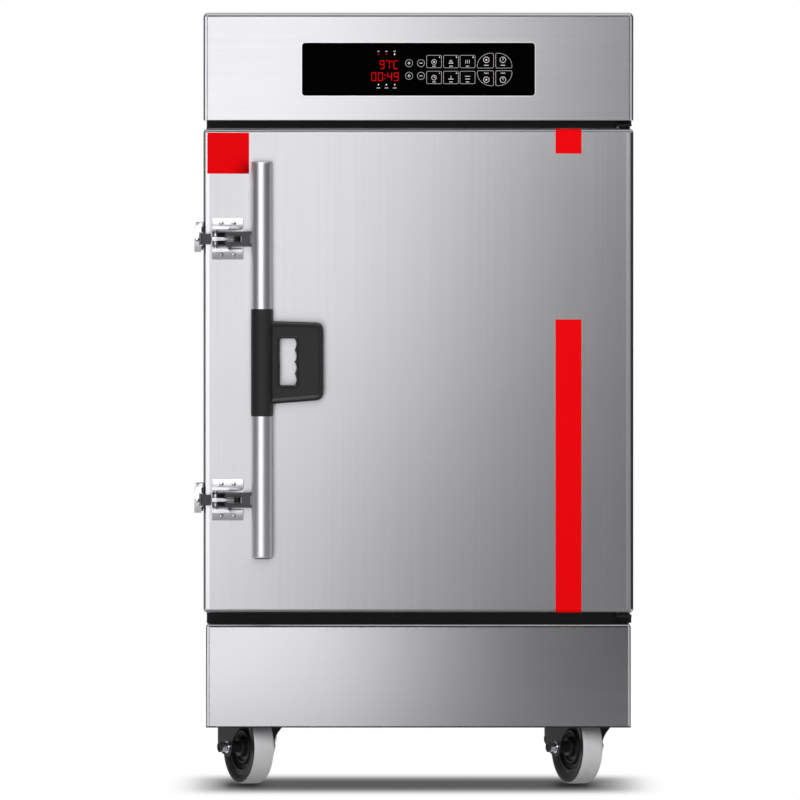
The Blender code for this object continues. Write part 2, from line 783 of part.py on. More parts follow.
def make_controls(cabinet):
    """Touch panel on the cap's front with its circuit board on standoffs, and the contactor."""
    width, height = PANEL_WIDTH / 2, PANEL_HEIGHT / 2
    outline = rounded((-width, width), (PANEL_Z - height, PANEL_Z + height), PANEL_CORNER)
    panel = prism(outline, "y", -SEAT - PANEL_THICKNESS, -SEAT)
    half, rise = BOARD_WIDTH / 2, BOARD_HEIGHT / 2
    back = BOARD_SETBACK + BOARD_THICKNESS
    shapes = [panel, block((-half, half), (BOARD_SETBACK, back), (PANEL_Z - rise, PANEL_Z + rise))]
    for x in (STANDOFF_INSET - half, half - STANDOFF_INSET):
        for z in (PANEL_Z - rise + STANDOFF_INSET, PANEL_Z + rise - STANDOFF_INSET):
            shapes.append(rod((x, 0, z), "y", STANDOFF_RADIUS, -2 * SEAT, BOARD_SETBACK + SEAT))
    display_left = -half / 2
    shapes.append(
        block(
            (display_left, display_left + DISPLAY_WIDTH),
            (BOARD_SETBACK - DISPLAY_DEPTH, BOARD_SETBACK + SEAT),
            (PANEL_Z - DISPLAY_HEIGHT / 2, PANEL_Z + DISPLAY_HEIGHT / 2),
        )
    )
    for k in range(RELAY_COUNT):
        x = (k + 1) * RELAY_PITCH - half / 2
        shapes.append(
            block(
                (x, x + RELAY_WIDTH),
                (back - SEAT, back + RELAY_DEPTH),
                (PANEL_Z - RELAY_HEIGHT / 2, PANEL_Z + RELAY_HEIGHT / 2),
            )
        )
    piece("control_panel", fused(shapes), "panel_gloss", cabinet)
    low = CAP_BOTTOM + SEAT / 2 + DECK_SHEET + SEAT
    width, deep = CONTACTOR_WIDTH / 2, CONTACTOR_DEPTH / 2
    profile = [
        (CONTACTOR_Y - deep, low),
        (CONTACTOR_Y + deep, low),
        (CONTACTOR_Y + deep, low + CONTACTOR_HEIGHT),
        (CONTACTOR_Y + deep - CONTACTOR_STEP, low + CONTACTOR_HEIGHT),
        (CONTACTOR_Y + deep - CONTACTOR_STEP, low + CONTACTOR_HEIGHT + CONTACTOR_NOSE),
        (CONTACTOR_Y - deep + CONTACTOR_STEP, low + CONTACTOR_HEIGHT + CONTACTOR_NOSE),
        (CONTACTOR_Y - deep + CONTACTOR_STEP, low + CONTACTOR_HEIGHT),
        (CONTACTOR_Y - deep, low + CONTACTOR_HEIGHT),
    ]
    contactor = prism(profile, "x", CONTACTOR_X - width, CONTACTOR_X + width)
    piece("contactor", contactor, "black_plastic", cabinet)


def make_gland(cabinet):
    """Cable gland in the cap's back wall."""
    inside = BACK_INNER - SEAT
    outside = DEPTH + SEAT
    profile = [
        (0, inside - GLAND_NUT_LENGTH),
        (GLAND_NUT, inside - GLAND_NUT_LENGTH),
        (GLAND_NUT, inside),
        (GLAND_THREAD, inside),
        (GLAND_THREAD, outside),
        (GLAND_NUT, outside),
        (GLAND_NUT, outside + GLAND_NUT_LENGTH),
        (GLAND_THREAD, outside + GLAND_DOME_LENGTH),
        (GLAND_MOUTH, outside + GLAND_DOME_LENGTH),
        (GLAND_MOUTH, outside + GLAND_NUT_LENGTH),
        (0, outside + GLAND_NUT_LENGTH),
    ]
    gland = turned(profile, (GLAND_X, 0, CAP_BOTTOM + GLAND_RISE), "y", SMALL_STEPS)
    piece("cable_gland", gland, "black_plastic", cabinet, smooth=True)


def make_base(cabinet):
    """Base skirt, open below, and the chassis plate that carries the castors inside it."""
    half = BASE_WIDTH / 2
    outer = bent_box((-half, half), (0, DEPTH), (BASE_BOTTOM, BASE_TOP), BASE_BEND, "-z")
    inner = bent_box(
        (BASE_SHEET - half, half - BASE_SHEET),
        (BASE_SHEET, DEPTH - BASE_SHEET),
        (BASE_BOTTOM - OVERRUN, BASE_TOP - BASE_SHEET),
        BASE_BEND - BASE_SHEET,
        "-z",
    )
    piece("base_skirt", fused([outer], [inner]), "stainless", cabinet)
    front = BASE_SHEET + SEAT
    back = DEPTH - BASE_SHEET - SEAT
    radius = BASE_BEND - BASE_SHEET
    top = CHASSIS_BOTTOM + CHASSIS_THICKNESS
    sheet = prism(
        rounded((-CHASSIS_HALF, CHASSIS_HALF), (front, back), radius),
        "z",
        CHASSIS_BOTTOM - CHASSIS_LIP,
        top,
    )
    wall = CHASSIS_LIP_THICKNESS
    hollow = block(
        (wall + radius - CHASSIS_HALF, CHASSIS_HALF - wall - radius),
        (front + wall, back - wall),
        (CHASSIS_BOTTOM - CHASSIS_LIP - OVERRUN, CHASSIS_BOTTOM),
    )
    sides = block(
        (wall - CHASSIS_HALF, CHASSIS_HALF - wall),
        (front + wall + radius, back - wall - radius),
        (CHASSIS_BOTTOM - CHASSIS_LIP - OVERRUN, CHASSIS_BOTTOM),
    )
    piece("chassis_plate", fused([sheet], [hollow, sides]), "zinc", cabinet)


def make_necks(cabinet):
    """Black strips that close the gaps above and below the door, stopped short of the hinge."""
    back = BODY_FRONT - SEAT
    front = back - NECK_DEPTH
    left = -BODY_WIDTH / 2
    right = HINGE_X - BRACKET_HALF_WIDTH - SEAT
    levels = {
        "lower_neck": (BASE_TOP + SEAT, DOOR_BOTTOM - NECK_CLEARANCE),
        "upper_neck": (DOOR_TOP + NECK_CLEARANCE, CAP_BOTTOM - SEAT),
    }
    for name, (low, high) in levels.items():
        profile = [
            (front, low),
            (back, low),
            (back, high),
            (front, high),
            (front, high - NECK_LIP),
            (front + NECK_LIP, high - NECK_LIP),
            (front + NECK_LIP, low + NECK_LIP),
            (front, low + NECK_LIP),
        ]
        piece(name, prism(profile, "x", left, right), "black_plastic", cabinet)


def make_rack(name, cabinet, side):
    """A pressed rack sheet with a ledge for each tray."""
    wall = CHAMBER_HALF - SEAT
    inner = wall - RACK_SHEET
    low = SILL + FIRST_LEDGE
    points = [(wall, low - RACK_FOOT), (wall, low + (TRAY_COUNT - 1) * TRAY_PITCH + RACK_HEAD)]
    points.append((inner, points[-1][1]))
    for level in reversed(range(TRAY_COUNT)):
        top = low + level * TRAY_PITCH
        points += [(inner, top), (LEDGE_INNER_HALF, top)]
        points += [(LEDGE_INNER_HALF, top - RACK_SHEET), (inner, top - RACK_SHEET)]
    points.append((inner, low - RACK_FOOT))
    front, back = TRAY_Y - TRAY_WIDTH / 2, TRAY_Y + TRAY_WIDTH / 2
    sheet = prism(points if side > 0 else mirrored(points), "y", front, back)
    piece(name, sheet, "stainless", cabinet)


def tray_shape():
    """A drawn tray with sloping walls and a rim folded down."""
    profile = [
        (TRAY_RIM + TRAY_DRAFT, 0),
        (TRAY_RIM, TRAY_HEIGHT - TRAY_SHEET),
        (TRAY_SHEET, TRAY_HEIGHT - TRAY_SHEET),
        (TRAY_SHEET, TRAY_HEIGHT - TRAY_LIP),
        (0, TRAY_HEIGHT - TRAY_LIP),
        (0, TRAY_HEIGHT),
        (TRAY_RIM + TRAY_SHEET, TRAY_HEIGHT),
        (TRAY_RIM + TRAY_DRAFT + TRAY_SHEET, TRAY_SHEET),
    ]
    mesh_data = bmesh.new()
    loops = []
    for inset, height in profile:
        half_x, half_y = TRAY_LENGTH / 2 - inset, TRAY_WIDTH / 2 - inset
        corner = TRAY_CORNER - inset
        outline = rounded((-half_x, half_x), (-half_y, half_y), corner, TRAY_CORNER_STEPS)
        loops.append([mesh_data.verts.new((x, y, height)) for x, y in outline])
    for lower, upper in zip(loops, loops[1:]):
        count = len(lower)
        for k in range(count):
            after = (k + 1) % count
            mesh_data.faces.new((lower[k], lower[after], upper[after], upper[k]))
    mesh_data.faces.new(loops[0])
    mesh_data.faces.new(loops[-1])
    return from_bmesh(mesh_data)


def make_trays(cabinet):
    """Eight loose trays on their ledges."""
    lowest = piece("tray_1", tray_shape(), "stainless", cabinet)
    trays = [lowest] + [copy_of(lowest, f"tray_{k}") for k in range(2, TRAY_COUNT + 1)]
    for level, tray in enumerate(trays):
        tray.parent = cabinet
        tray.location = (0, TRAY_Y, SILL + FIRST_LEDGE + level * TRAY_PITCH + SEAT)


def make_baffle(cabinet):
    """Perforated plate that spreads the steam above the water."""
    half = CHAMBER_HALF - SEAT
    low = SILL + BAFFLE_RISE
    front, back = CHAMBER_FRONT + SEAT, CHAMBER_BACK - SEAT
    sheet = block((-half, half), (front, back), (low, low + BAFFLE_SHEET))
    slots = []
    for column in range(SLOT_COLUMNS):
        x = (column - (SLOT_COLUMNS - 1) / 2) * SLOT_PITCH_X
        for row in range(SLOT_ROWS):
            y = (front + back) / 2 + (row - (SLOT_ROWS - 1) / 2) * SLOT_PITCH_Y
            outline = rounded(
                (x - SLOT_LENGTH / 2, x + SLOT_LENGTH / 2),
                (y - SLOT_WIDTH / 2, y + SLOT_WIDTH / 2),
                SLOT_CORNER,
                1,
            )
            slots.append(prism(outline, "z", low - OVERRUN, low + BAFFLE_SHEET + OVERRUN))
    piece("baffle_plate", fused([sheet], [gathered(slots)]), "stainless", cabinet)


def hairpin(x):
    """One U-shaped heater tube as a filled bevelled curve, made a mesh."""
    reach = CHAMBER_BACK - HEATER_REACH
    back = CHAMBER_BACK - SEAT - HEATER_FLANGE_THICKNESS / 2
    bend = arc((x, reach), HEATER_HAIRPIN / 2, 180, 360, 8)
    points = [(x - HEATER_HAIRPIN / 2, back)] + bend + [(x + HEATER_HAIRPIN / 2, back)]
    curve = bpy.data.curves.new("hairpin", "CURVE")
    curve.dimensions = "3D"
    curve.bevel_depth = HEATER_TUBE_RADIUS
    curve.bevel_resolution = 1
    curve.use_fill_caps = True
    spline = curve.splines.new("POLY")
    spline.points.add(len(points) - 1)
    for target, (px, py) in zip(spline.points, points):
        target.co = (px, py, HEATER_Z, 1)
    holder = bpy.data.objects.new("hairpin", curve)
    bpy.context.scene.collection.objects.link(holder)
    bpy.context.view_layer.update()
    graph = bpy.context.evaluated_depsgraph_get()
    mesh_data = bmesh.new()
    mesh_data.from_mesh(bpy.data.meshes.new_from_object(holder.evaluated_get(graph)))
    bmesh.ops.remove_doubles(mesh_data, verts=mesh_data.verts, dist=MERGE)
    bpy.data.objects.remove(holder, do_unlink=True)
    return from_bmesh(mesh_data)


def make_heater(cabinet):
    """Heating element: three hairpins on a flange, with terminals in the rear bay."""
    half, rise = HEATER_FLANGE_WIDTH / 2, HEATER_FLANGE_HEIGHT / 2
    flange_back = CHAMBER_BACK - SEAT
    flange_front = flange_back - HEATER_FLANGE_THICKNESS
    flange = block((-half, half), (flange_front, flange_back), (HEATER_Z - rise, HEATER_Z + rise))
    neck_half, neck_rise = half - HEATER_NECK_MARGIN, rise - HEATER_NECK_MARGIN
    neck = block(
        (-neck_half, neck_half),
        (flange_front + SEAT, INSULATION_BACK),
        (HEATER_Z - neck_rise, HEATER_Z + neck_rise),
    )
    shapes = [flange, neck]
    for k in range(HEATER_TUBES):
        x = (k - (HEATER_TUBES - 1) / 2) * HEATER_PITCH
        shapes.append(hairpin(x))
        for end in (x - HEATER_HAIRPIN / 2, x + HEATER_HAIRPIN / 2):
            centre = (end, 0, HEATER_Z)
            low, high = INSULATION_BACK - OVERRUN, INSULATION_BACK + TERMINAL_LENGTH
            shapes.append(rod(centre, "y", TERMINAL_RADIUS, low, high, 6))
    piece("heating_element", fused(shapes), "copper_sheath", cabinet, smooth=True)


def make_vent(cabinet):
    """Steam vent pipe from the chamber's back wall to the outside."""
    end = DEPTH + VENT_REACH
    low = DEPTH + SEAT
    profile = [
        (VENT_BORE, CHAMBER_BACK),
        (VENT_RADIUS, CHAMBER_BACK),
        (VENT_RADIUS, low),
        (PIPE_FLANGE_RADIUS, low),
        (PIPE_FLANGE_RADIUS, low + PIPE_FLANGE_THICKNESS),
        (VENT_RADIUS, low + PIPE_FLANGE_THICKNESS),
        (VENT_RADIUS, end),
        (VENT_BORE, end),
    ]
    vent = turned(profile, (VENT_X, 0, VENT_Z), "y", PIPE_STEPS, closed=True)
    piece("steam_vent", vent, "stainless", cabinet, smooth=True)


def make_drain(cabinet):
    """Drain pipe and ball valve behind the cabinet, with a lever that turns a quarter."""
    start = DEPTH + VALVE_START
    body_end = start + VALVE_LENGTH
    shoulder = (VALVE_RADIUS - DRAIN_RADIUS) / 2
    flange = DEPTH + SEAT
    profile = [
        (0, CHAMBER_BACK),
        (DRAIN_RADIUS, CHAMBER_BACK),
        (DRAIN_RADIUS, flange),
        (VALVE_RADIUS, flange),
        (VALVE_RADIUS, flange + PIPE_FLANGE_THICKNESS),
        (DRAIN_RADIUS, flange + PIPE_FLANGE_THICKNESS),
        (DRAIN_RADIUS, start),
        (VALVE_RADIUS - shoulder, start),
        (VALVE_RADIUS, start + VALVE_TAPER),
        (VALVE_RADIUS, body_end - VALVE_TAPER),
        (VALVE_RADIUS - shoulder, body_end),
        (DRAIN_RADIUS, body_end),
        (DRAIN_RADIUS, VALVE_END),
        (NIPPLE_BORE, VALVE_END),
        (NIPPLE_BORE, VALVE_END - NIPPLE_DEPTH),
        (0, VALVE_END - NIPPLE_DEPTH),
    ]
    centre = (DRAIN_X, 0, DRAIN_Z)
    body = turned(profile, centre, "y", PIPE_STEPS)
    stem_centre = (DRAIN_X, start + VALVE_TAPER, 0)
    top = DRAIN_Z + STEM_HEIGHT
    nut_low = DRAIN_Z + LEVER_LIFT + LEVER_THICKNESS + SEAT
    shapes = [
        body,
        rod(stem_centre, "z", STEM_RADIUS, DRAIN_Z + NIPPLE_BORE + OVERRUN, top),
        rod(stem_centre, "z", STEM_NUT, DRAIN_Z + NIPPLE_BORE + OVERRUN, DRAIN_Z + LEVER_LIFT - SEAT),
        rod(stem_centre, "z", STEM_NUT, nut_low, top - OVERRUN, 6),
    ]
    piece("drain_valve", fused(shapes), "brass_fitting", cabinet, smooth=True)
    axis = (DRAIN_X, start + VALVE_TAPER, DRAIN_Z + LEVER_LIFT)
    swing = frame("drain_lever_axis", cabinet, axis)
    half = LEVER_WIDTH / 2
    grip = block(
        (0, LEVER_LENGTH - half),
        (-half, half),
        (0, LEVER_THICKNESS),
    )
    tip = rod((LEVER_LENGTH - half, 0, 0), "z", half, 0, LEVER_THICKNESS)
    eye = rod((0, 0, 0), "z", LEVER_EYE, 0, LEVER_THICKNESS)
    hole = rod((0, 0, 0), "z", STEM_RADIUS + SEAT, -OVERRUN, LEVER_THICKNESS + OVERRUN)
    piece("drain_lever", fused([grip, tip, eye], [hole]), "polished", swing)


def make_float_tank(cabinet):
    """Water tank in the rear bay, with its inlet spigot, its link pipe and the float's pin."""
    outer = block((TANK_LEFT, TANK_RIGHT), (TANK_FRONT, TANK_BACK), (TANK_BOTTOM, TANK_TOP))
    inner = block(
        (TANK_LEFT + TANK_WALL, TANK_RIGHT - TANK_WALL),
        (TANK_FRONT + TANK_WALL, TANK_BACK - TANK_WALL),
        (TANK_BOTTOM + TANK_WALL, TANK_TOP + OVERRUN),
    )
    box = fused([outer], [inner])
    link = rod((LINK_X, 0, LINK_Z), "y", LINK_RADIUS, CHAMBER_BACK, TANK_FRONT + TANK_WALL / 2)
    spigot_end = DEPTH + SPIGOT_REACH
    spigot = rod((LINK_X, 0, SPIGOT_Z), "y", SPIGOT_RADIUS, TANK_BACK - TANK_WALL / 2, spigot_end)
    pin = rod(
        (FLOAT_X, 0, FLOAT_Z),
        "y",
        FLOAT_PIN_RADIUS,
        TANK_FRONT + TANK_WALL / 2,
        TANK_BACK - TANK_WALL / 2,
        8,
    )
    link_bore = rod((LINK_X, 0, LINK_Z), "y", LINK_BORE, CHAMBER_BACK - OVERRUN, TANK_FRONT + OVERRUN)
    mouth = rod(
        (LINK_X, 0, SPIGOT_Z), "y", SPIGOT_BORE, spigot_end - SPIGOT_DEPTH, spigot_end + OVERRUN
    )
    tank = fused([box, link, spigot, pin], [link_bore, mouth])
    piece("float_tank", tank, "stainless", cabinet)
    axis = (FLOAT_X, (TANK_FRONT + TANK_BACK) / 2, FLOAT_Z)
    swing = frame("float_arm_axis", cabinet, axis)
    reach_x = -FLOAT_ARM_LENGTH * math.cos(FLOAT_HANG)
    reach_z = -FLOAT_ARM_LENGTH * math.sin(FLOAT_HANG)
    half = FLOAT_ARM_THICKNESS / 2
    across = (half * math.sin(FLOAT_HANG), -half * math.cos(FLOAT_HANG))
    bar = prism(
        [
            (across[0], across[1]),
            (-across[0], -across[1]),
            (reach_x - across[0], reach_z - across[1]),
            (reach_x + across[0], reach_z + across[1]),
        ],
        "y",
        -half,
        half,
    )
    hub = rod((0, 0, 0), "y", FLOAT_HUB_RADIUS, -FLOAT_HUB_RADIUS, FLOAT_HUB_RADIUS)
    radius = FLOAT_BALL_RADIUS
    ball_profile = [
        (radius * math.cos(turn), radius * math.sin(turn))
        for turn in (math.radians(-90 + 180 * k / 6) for k in range(7))
    ]
    ball = turned(ball_profile, (reach_x, 0, reach_z), "y", SMALL_STEPS)
    bore = rod(
        (0, 0, 0),
        "y",
        FLOAT_PIN_RADIUS + SEAT,
        -FLOAT_HUB_RADIUS - OVERRUN,
        FLOAT_HUB_RADIUS + OVERRUN,
        8,
    )
    piece("float_arm", fused([hub, bar, ball], [bore]), "float_plastic", swing, smooth=True)


def castor_plate_shape():
    """Top plate with its bearing race and the king pin that holds the fork."""
    half = PLATE_SIDE / 2
    outline = rounded((-half, half), (-half, half), PLATE_CORNER, 2)
    plate = prism(outline, "z", PLATE_BOTTOM, PLATE_TOP)
    profile = [
        (0, CROWN_BOTTOM - SEAT - PIN_HEAD_HEIGHT),
        (PIN_HEAD_RADIUS, CROWN_BOTTOM - SEAT - PIN_HEAD_HEIGHT),
        (PIN_HEAD_RADIUS, CROWN_BOTTOM - SEAT),
        (KING_PIN_RADIUS, CROWN_BOTTOM - SEAT),
        (KING_PIN_RADIUS, CROWN_TOP + SEAT),
        (RACE_RADIUS, CROWN_TOP + SEAT),
        (RACE_RADIUS, PLATE_BOTTOM + SEAT),
        (0, PLATE_BOTTOM + SEAT),
    ]
    return fused([plate, turned(profile, (0, 0, 0), "z", PIPE_STEPS)])


def fork_shape():
    """Castor fork: crown, two legs that lean back to the axle, and the axle bolt with its nut."""
    crown = rod((0, 0, 0), "z", CROWN_RADIUS, CROWN_BOTTOM, CROWN_TOP, PIPE_STEPS)
    inner = HUB_HALF + LEG_CLEARANCE
    outer = inner + LEG_THICKNESS
    eye = arc((TRAIL, WHEEL_RADIUS), LEG_EYE, 200, 340, 5)
    leg = [(-LEG_TOP_FRONT, CROWN_TOP)] + eye + [(LEG_TOP_BACK, CROWN_TOP)]
    bridge = block((-outer, outer), (-LEG_TOP_FRONT, LEG_TOP_BACK), (CROWN_BOTTOM, CROWN_TOP))
    centre = (0, TRAIL, WHEEL_RADIUS)
    head = outer + BOLT_HEAD_HEIGHT
    nut = outer + NUT_HEIGHT
    shapes = [
        crown,
        bridge,
        prism(leg, "x", -outer, -inner),
        prism(leg, "x", inner, outer),
        rod(centre, "x", AXLE_RADIUS, -nut - BOLT_TAIL, head),
        rod(centre, "x", BOLT_HEAD_RADIUS, outer - SEAT, head),
        rod(centre, "x", NUT_RADIUS, -nut, SEAT - outer, 6),
    ]
    hole = rod(
        (0, 0, 0),
        "z",
        KING_PIN_RADIUS + SEAT,
        CROWN_BOTTOM - OVERRUN,
        CROWN_TOP + OVERRUN,
        PIPE_STEPS,
    )
    return fused(shapes, [hole])


def wheel_shape():
    """Wheel with a moulded tread, a dished web and a hub bored for the axle."""
    half = WHEEL_WIDTH / 2
    facet = math.pi / WHEEL_STEPS
    outer = WHEEL_RADIUS / math.cos(facet)
    rim = outer - TREAD_DEPTH
    side = [
        (AXLE_RADIUS + SEAT, HUB_HALF),
        (HUB_RADIUS, HUB_HALF),
        (HUB_RADIUS, WEB_HALF),
        (rim - RIM_DEPTH, WEB_HALF),
        (rim, half - TREAD_LIP),
        (outer - TREAD_SHOULDER, half),
        (outer, half - TREAD_SHOULDER),
    ]
    profile = [(r, -h) for r, h in side] + [(r, h) for r, h in reversed(side)]
    return turned(profile, (0, 0, 0), "x", WHEEL_STEPS, closed=True, start=facet - math.pi / 2)


def make_castors(cabinet):
    """Four alike swivel castors, all turned as the photograph shows them."""
    plate, fork, wheel = castor_plate_shape(), fork_shape(), wheel_shape()
    corners = {
        "front_left": (-CASTOR_X, CASTOR_FRONT),
        "front_right": (CASTOR_X, CASTOR_FRONT),
        "rear_left": (-CASTOR_X, CASTOR_BACK),
        "rear_right": (CASTOR_X, CASTOR_BACK),
    }
    for k, (corner, (x, y)) in enumerate(corners.items()):
        swivel = frame("swivel_axis_" + corner, cabinet, (x, y, 0), CASTOR_TURN)
        axle = frame("axle_" + corner, swivel, (0, TRAIL, WHEEL_RADIUS))
        parts = {
            "castor_plate_": (plate, "zinc", cabinet, (x, y, 0)),
            "castor_fork_": (fork, "black_plastic", swivel, (0, 0, 0)),
            "castor_wheel_": (wheel, "wheel_grey", axle, (0, 0, 0)),
        }
        for stem, (shape, kind, parent, place) in parts.items():
            if k == 0:
                piece(stem + corner, shape, kind, parent, smooth=True)
                target = shape
            else:
                target = copy_of(shape, stem + corner)
                target.parent = parent
            target.location = place


def make_door(cabinet):
    """Door on its pivots: outer pan, inner pan, foam and gasket."""
    swing = frame("door_axis", cabinet, (HINGE_X, HINGE_Y, 0))
    offset = (HINGE_X, HINGE_Y, 0)
    half = CAP_WIDTH / 2
    outer = bent_box((-half, half), (0, DOOR_THICKNESS), (DOOR_BOTTOM, DOOR_TOP), BEND, "+y")
    inner = bent_box(
        (SHEET - half, half - SHEET),
        (SHEET, DOOR_THICKNESS + OVERRUN),
        (DOOR_BOTTOM + SHEET, DOOR_TOP - SHEET),
        BEND - SHEET,
        "+y",
    )
    pins = [
        rod(
            (HINGE_X, HINGE_Y, 0),
            "z",
            HINGE_PIN_RADIUS + HINGE_PIN_CLEARANCE,
            level - HINGE_PIN_LENGTH,
            level + HINGE_PIN_LENGTH,
            ROUND_STEPS,
        )
        for level in (DOOR_BOTTOM, DOOR_TOP)
    ]
    piece("door_outer_panel", fused([outer], [inner] + pins), "stainless", swing, offset)
    fit = SHEET + SEAT
    back = DOOR_THICKNESS
    dish_front = back - INNER_DISH
    margin = INNER_DISH_MARGIN
    edge = rounded((fit - half, half - fit), (DOOR_BOTTOM + fit, DOOR_TOP - fit), BEND - SHEET)
    plate = prism(edge, "y", back - SHEET, back)
    dish = block(
        (margin - half, half - margin),
        (dish_front, back),
        (DOOR_BOTTOM + margin, DOOR_TOP - margin),
    )
    dish_hollow = block(
        (margin + SHEET - half, half - margin - SHEET),
        (dish_front + SHEET, back + OVERRUN),
        (DOOR_BOTTOM + margin + SHEET, DOOR_TOP - margin - SHEET),
    )
    piece("door_inner_panel", fused([plate, dish], [dish_hollow]), "stainless", swing, offset)
    core = block(
        (BEND - half, half - BEND),
        (fit, back - SHEET - SEAT),
        (DOOR_BOTTOM + BEND, DOOR_TOP - BEND),
    )
    recess = block(
        (margin - SEAT - half, half - margin + SEAT),
        (dish_front - SEAT, back),
        (DOOR_BOTTOM + margin - SEAT, DOOR_TOP - margin + SEAT),
    )
    pockets = [
        rod(
            (HINGE_X, HINGE_Y, 0),
            "z",
            HINGE_POCKET,
            level - HINGE_PIN_LENGTH - OVERRUN,
            level + HINGE_PIN_LENGTH + OVERRUN,
        )
        for level in (DOOR_BOTTOM, DOOR_TOP)
    ]
    piece("door_foam", fused([core], [recess] + pockets), "insulation", swing, offset)
    low, high = DOOR_BOTTOM + GASKET_BOTTOM_INSET, DOOR_TOP - GASKET_TOP_INSET
    span = (-GASKET_OUTER_HALF, GASKET_OUTER_HALF)
    seal = prism(rounded(span, (low, high), GASKET_CORNER), "y", back + SEAT, BODY_FRONT - SEAT)
    inner_span = (GASKET_WIDTH - GASKET_OUTER_HALF, GASKET_OUTER_HALF - GASKET_WIDTH)
    opening = prism(
        rounded(inner_span, (low + GASKET_WIDTH, high - GASKET_WIDTH), GASKET_CORNER - GASKET_WIDTH),
        "y",
        back - OVERRUN,
        BODY_FRONT + OVERRUN,
    )
    piece("door_gasket", fused([seal], [opening]), "seal_rubber", swing, offset)
    return swing


def make_brackets(cabinet):
    """Pivot brackets above and below the door, each with its pin."""
    span = (HINGE_X - BRACKET_HALF_WIDTH, HINGE_X + BRACKET_HALF_WIDTH - SEAT)
    back = BODY_FRONT - SEAT
    front = HINGE_Y - BRACKET_NOSE
    levels = {
        "hinge_bracket_top": (DOOR_TOP, 1, CAP_BOTTOM - SEAT),
        "hinge_bracket_bottom": (DOOR_BOTTOM, -1, BASE_TOP + SEAT),
    }
    for name, (edge, way, end) in levels.items():
        near = edge + way * BRACKET_LIFT
        far = near + way * BRACKET_THICKNESS
        plate = block(span, (front, back), (near, far))
        tab = block(span, (back - BRACKET_TAB, back), (near, end))
        centre = (HINGE_X, HINGE_Y, 0)
        low, high = sorted((edge - way * HINGE_PIN_LENGTH, far))
        pin = rod(centre, "z", HINGE_PIN_RADIUS, low, high, ROUND_STEPS)
        washer_low, washer_high = sorted((edge + way * SEAT, near + way * SEAT))
        washer = rod(centre, "z", HINGE_POCKET, washer_low, washer_high, ROUND_STEPS)
        piece(name, fused([plate, tab, washer, pin]), "dark_steel", cabinet)


def make_latch_base(name, parent, offset, level):
    """Latch base on the door: plate, screwed wings, two ears and the pivot pin."""
    left = PIVOT_X - BASE_PLATE_LEFT
    right = left + BASE_PLATE_WIDTH
    rise = BASE_PLATE_HEIGHT / 2
    face = -SEAT - BASE_PLATE_THICKNESS
    outline = rounded((left, right), (level - rise, level + rise), BASE_PLATE_CORNER, 2)
    shapes = [prism(outline, "y", face, -SEAT)]
    for way in (-1, 1):
        low, high = sorted((level + way * (rise - WING_HEIGHT), level + way * rise))
        wing = rounded((left, right), (low, high), BASE_PLATE_CORNER, 2)
        shapes.append(prism(wing, "y", face - WING_THICKNESS, face + SEAT))
        ear_low, ear_high = sorted((level + way * EAR_INNER, level + way * (EAR_INNER + EAR_THICKNESS)))
        ear = [
            (left, face + SEAT),
            (left, -EAR_STAND + EAR_SLANT / 2),
            (left + EAR_SLANT / 2, -EAR_STAND),
            (left + EAR_LENGTH - EAR_SLANT, -EAR_STAND),
            (right, face + SEAT),
        ]
        shapes.append(prism(ear, "z", ear_low, ear_high))
        for shift in (-SCREW_SPACING_X / 2, SCREW_SPACING_X / 2):
            middle = left + BASE_PLATE_WIDTH / 2 + shift
            centre = (middle, face - WING_THICKNESS, level + way * SCREW_SPACING_Z / 2)
            shapes.append(screw_head(centre, "y", -1))
    pin_centre = (PIVOT_X, PIVOT_Y, level)
    ear_top = EAR_INNER + EAR_THICKNESS / 2
    shapes.append(rod(pin_centre, "z", LATCH_PIN_RADIUS, -ear_top, ear_top))
    piece(name, fused(shapes), "stainless", parent, offset)


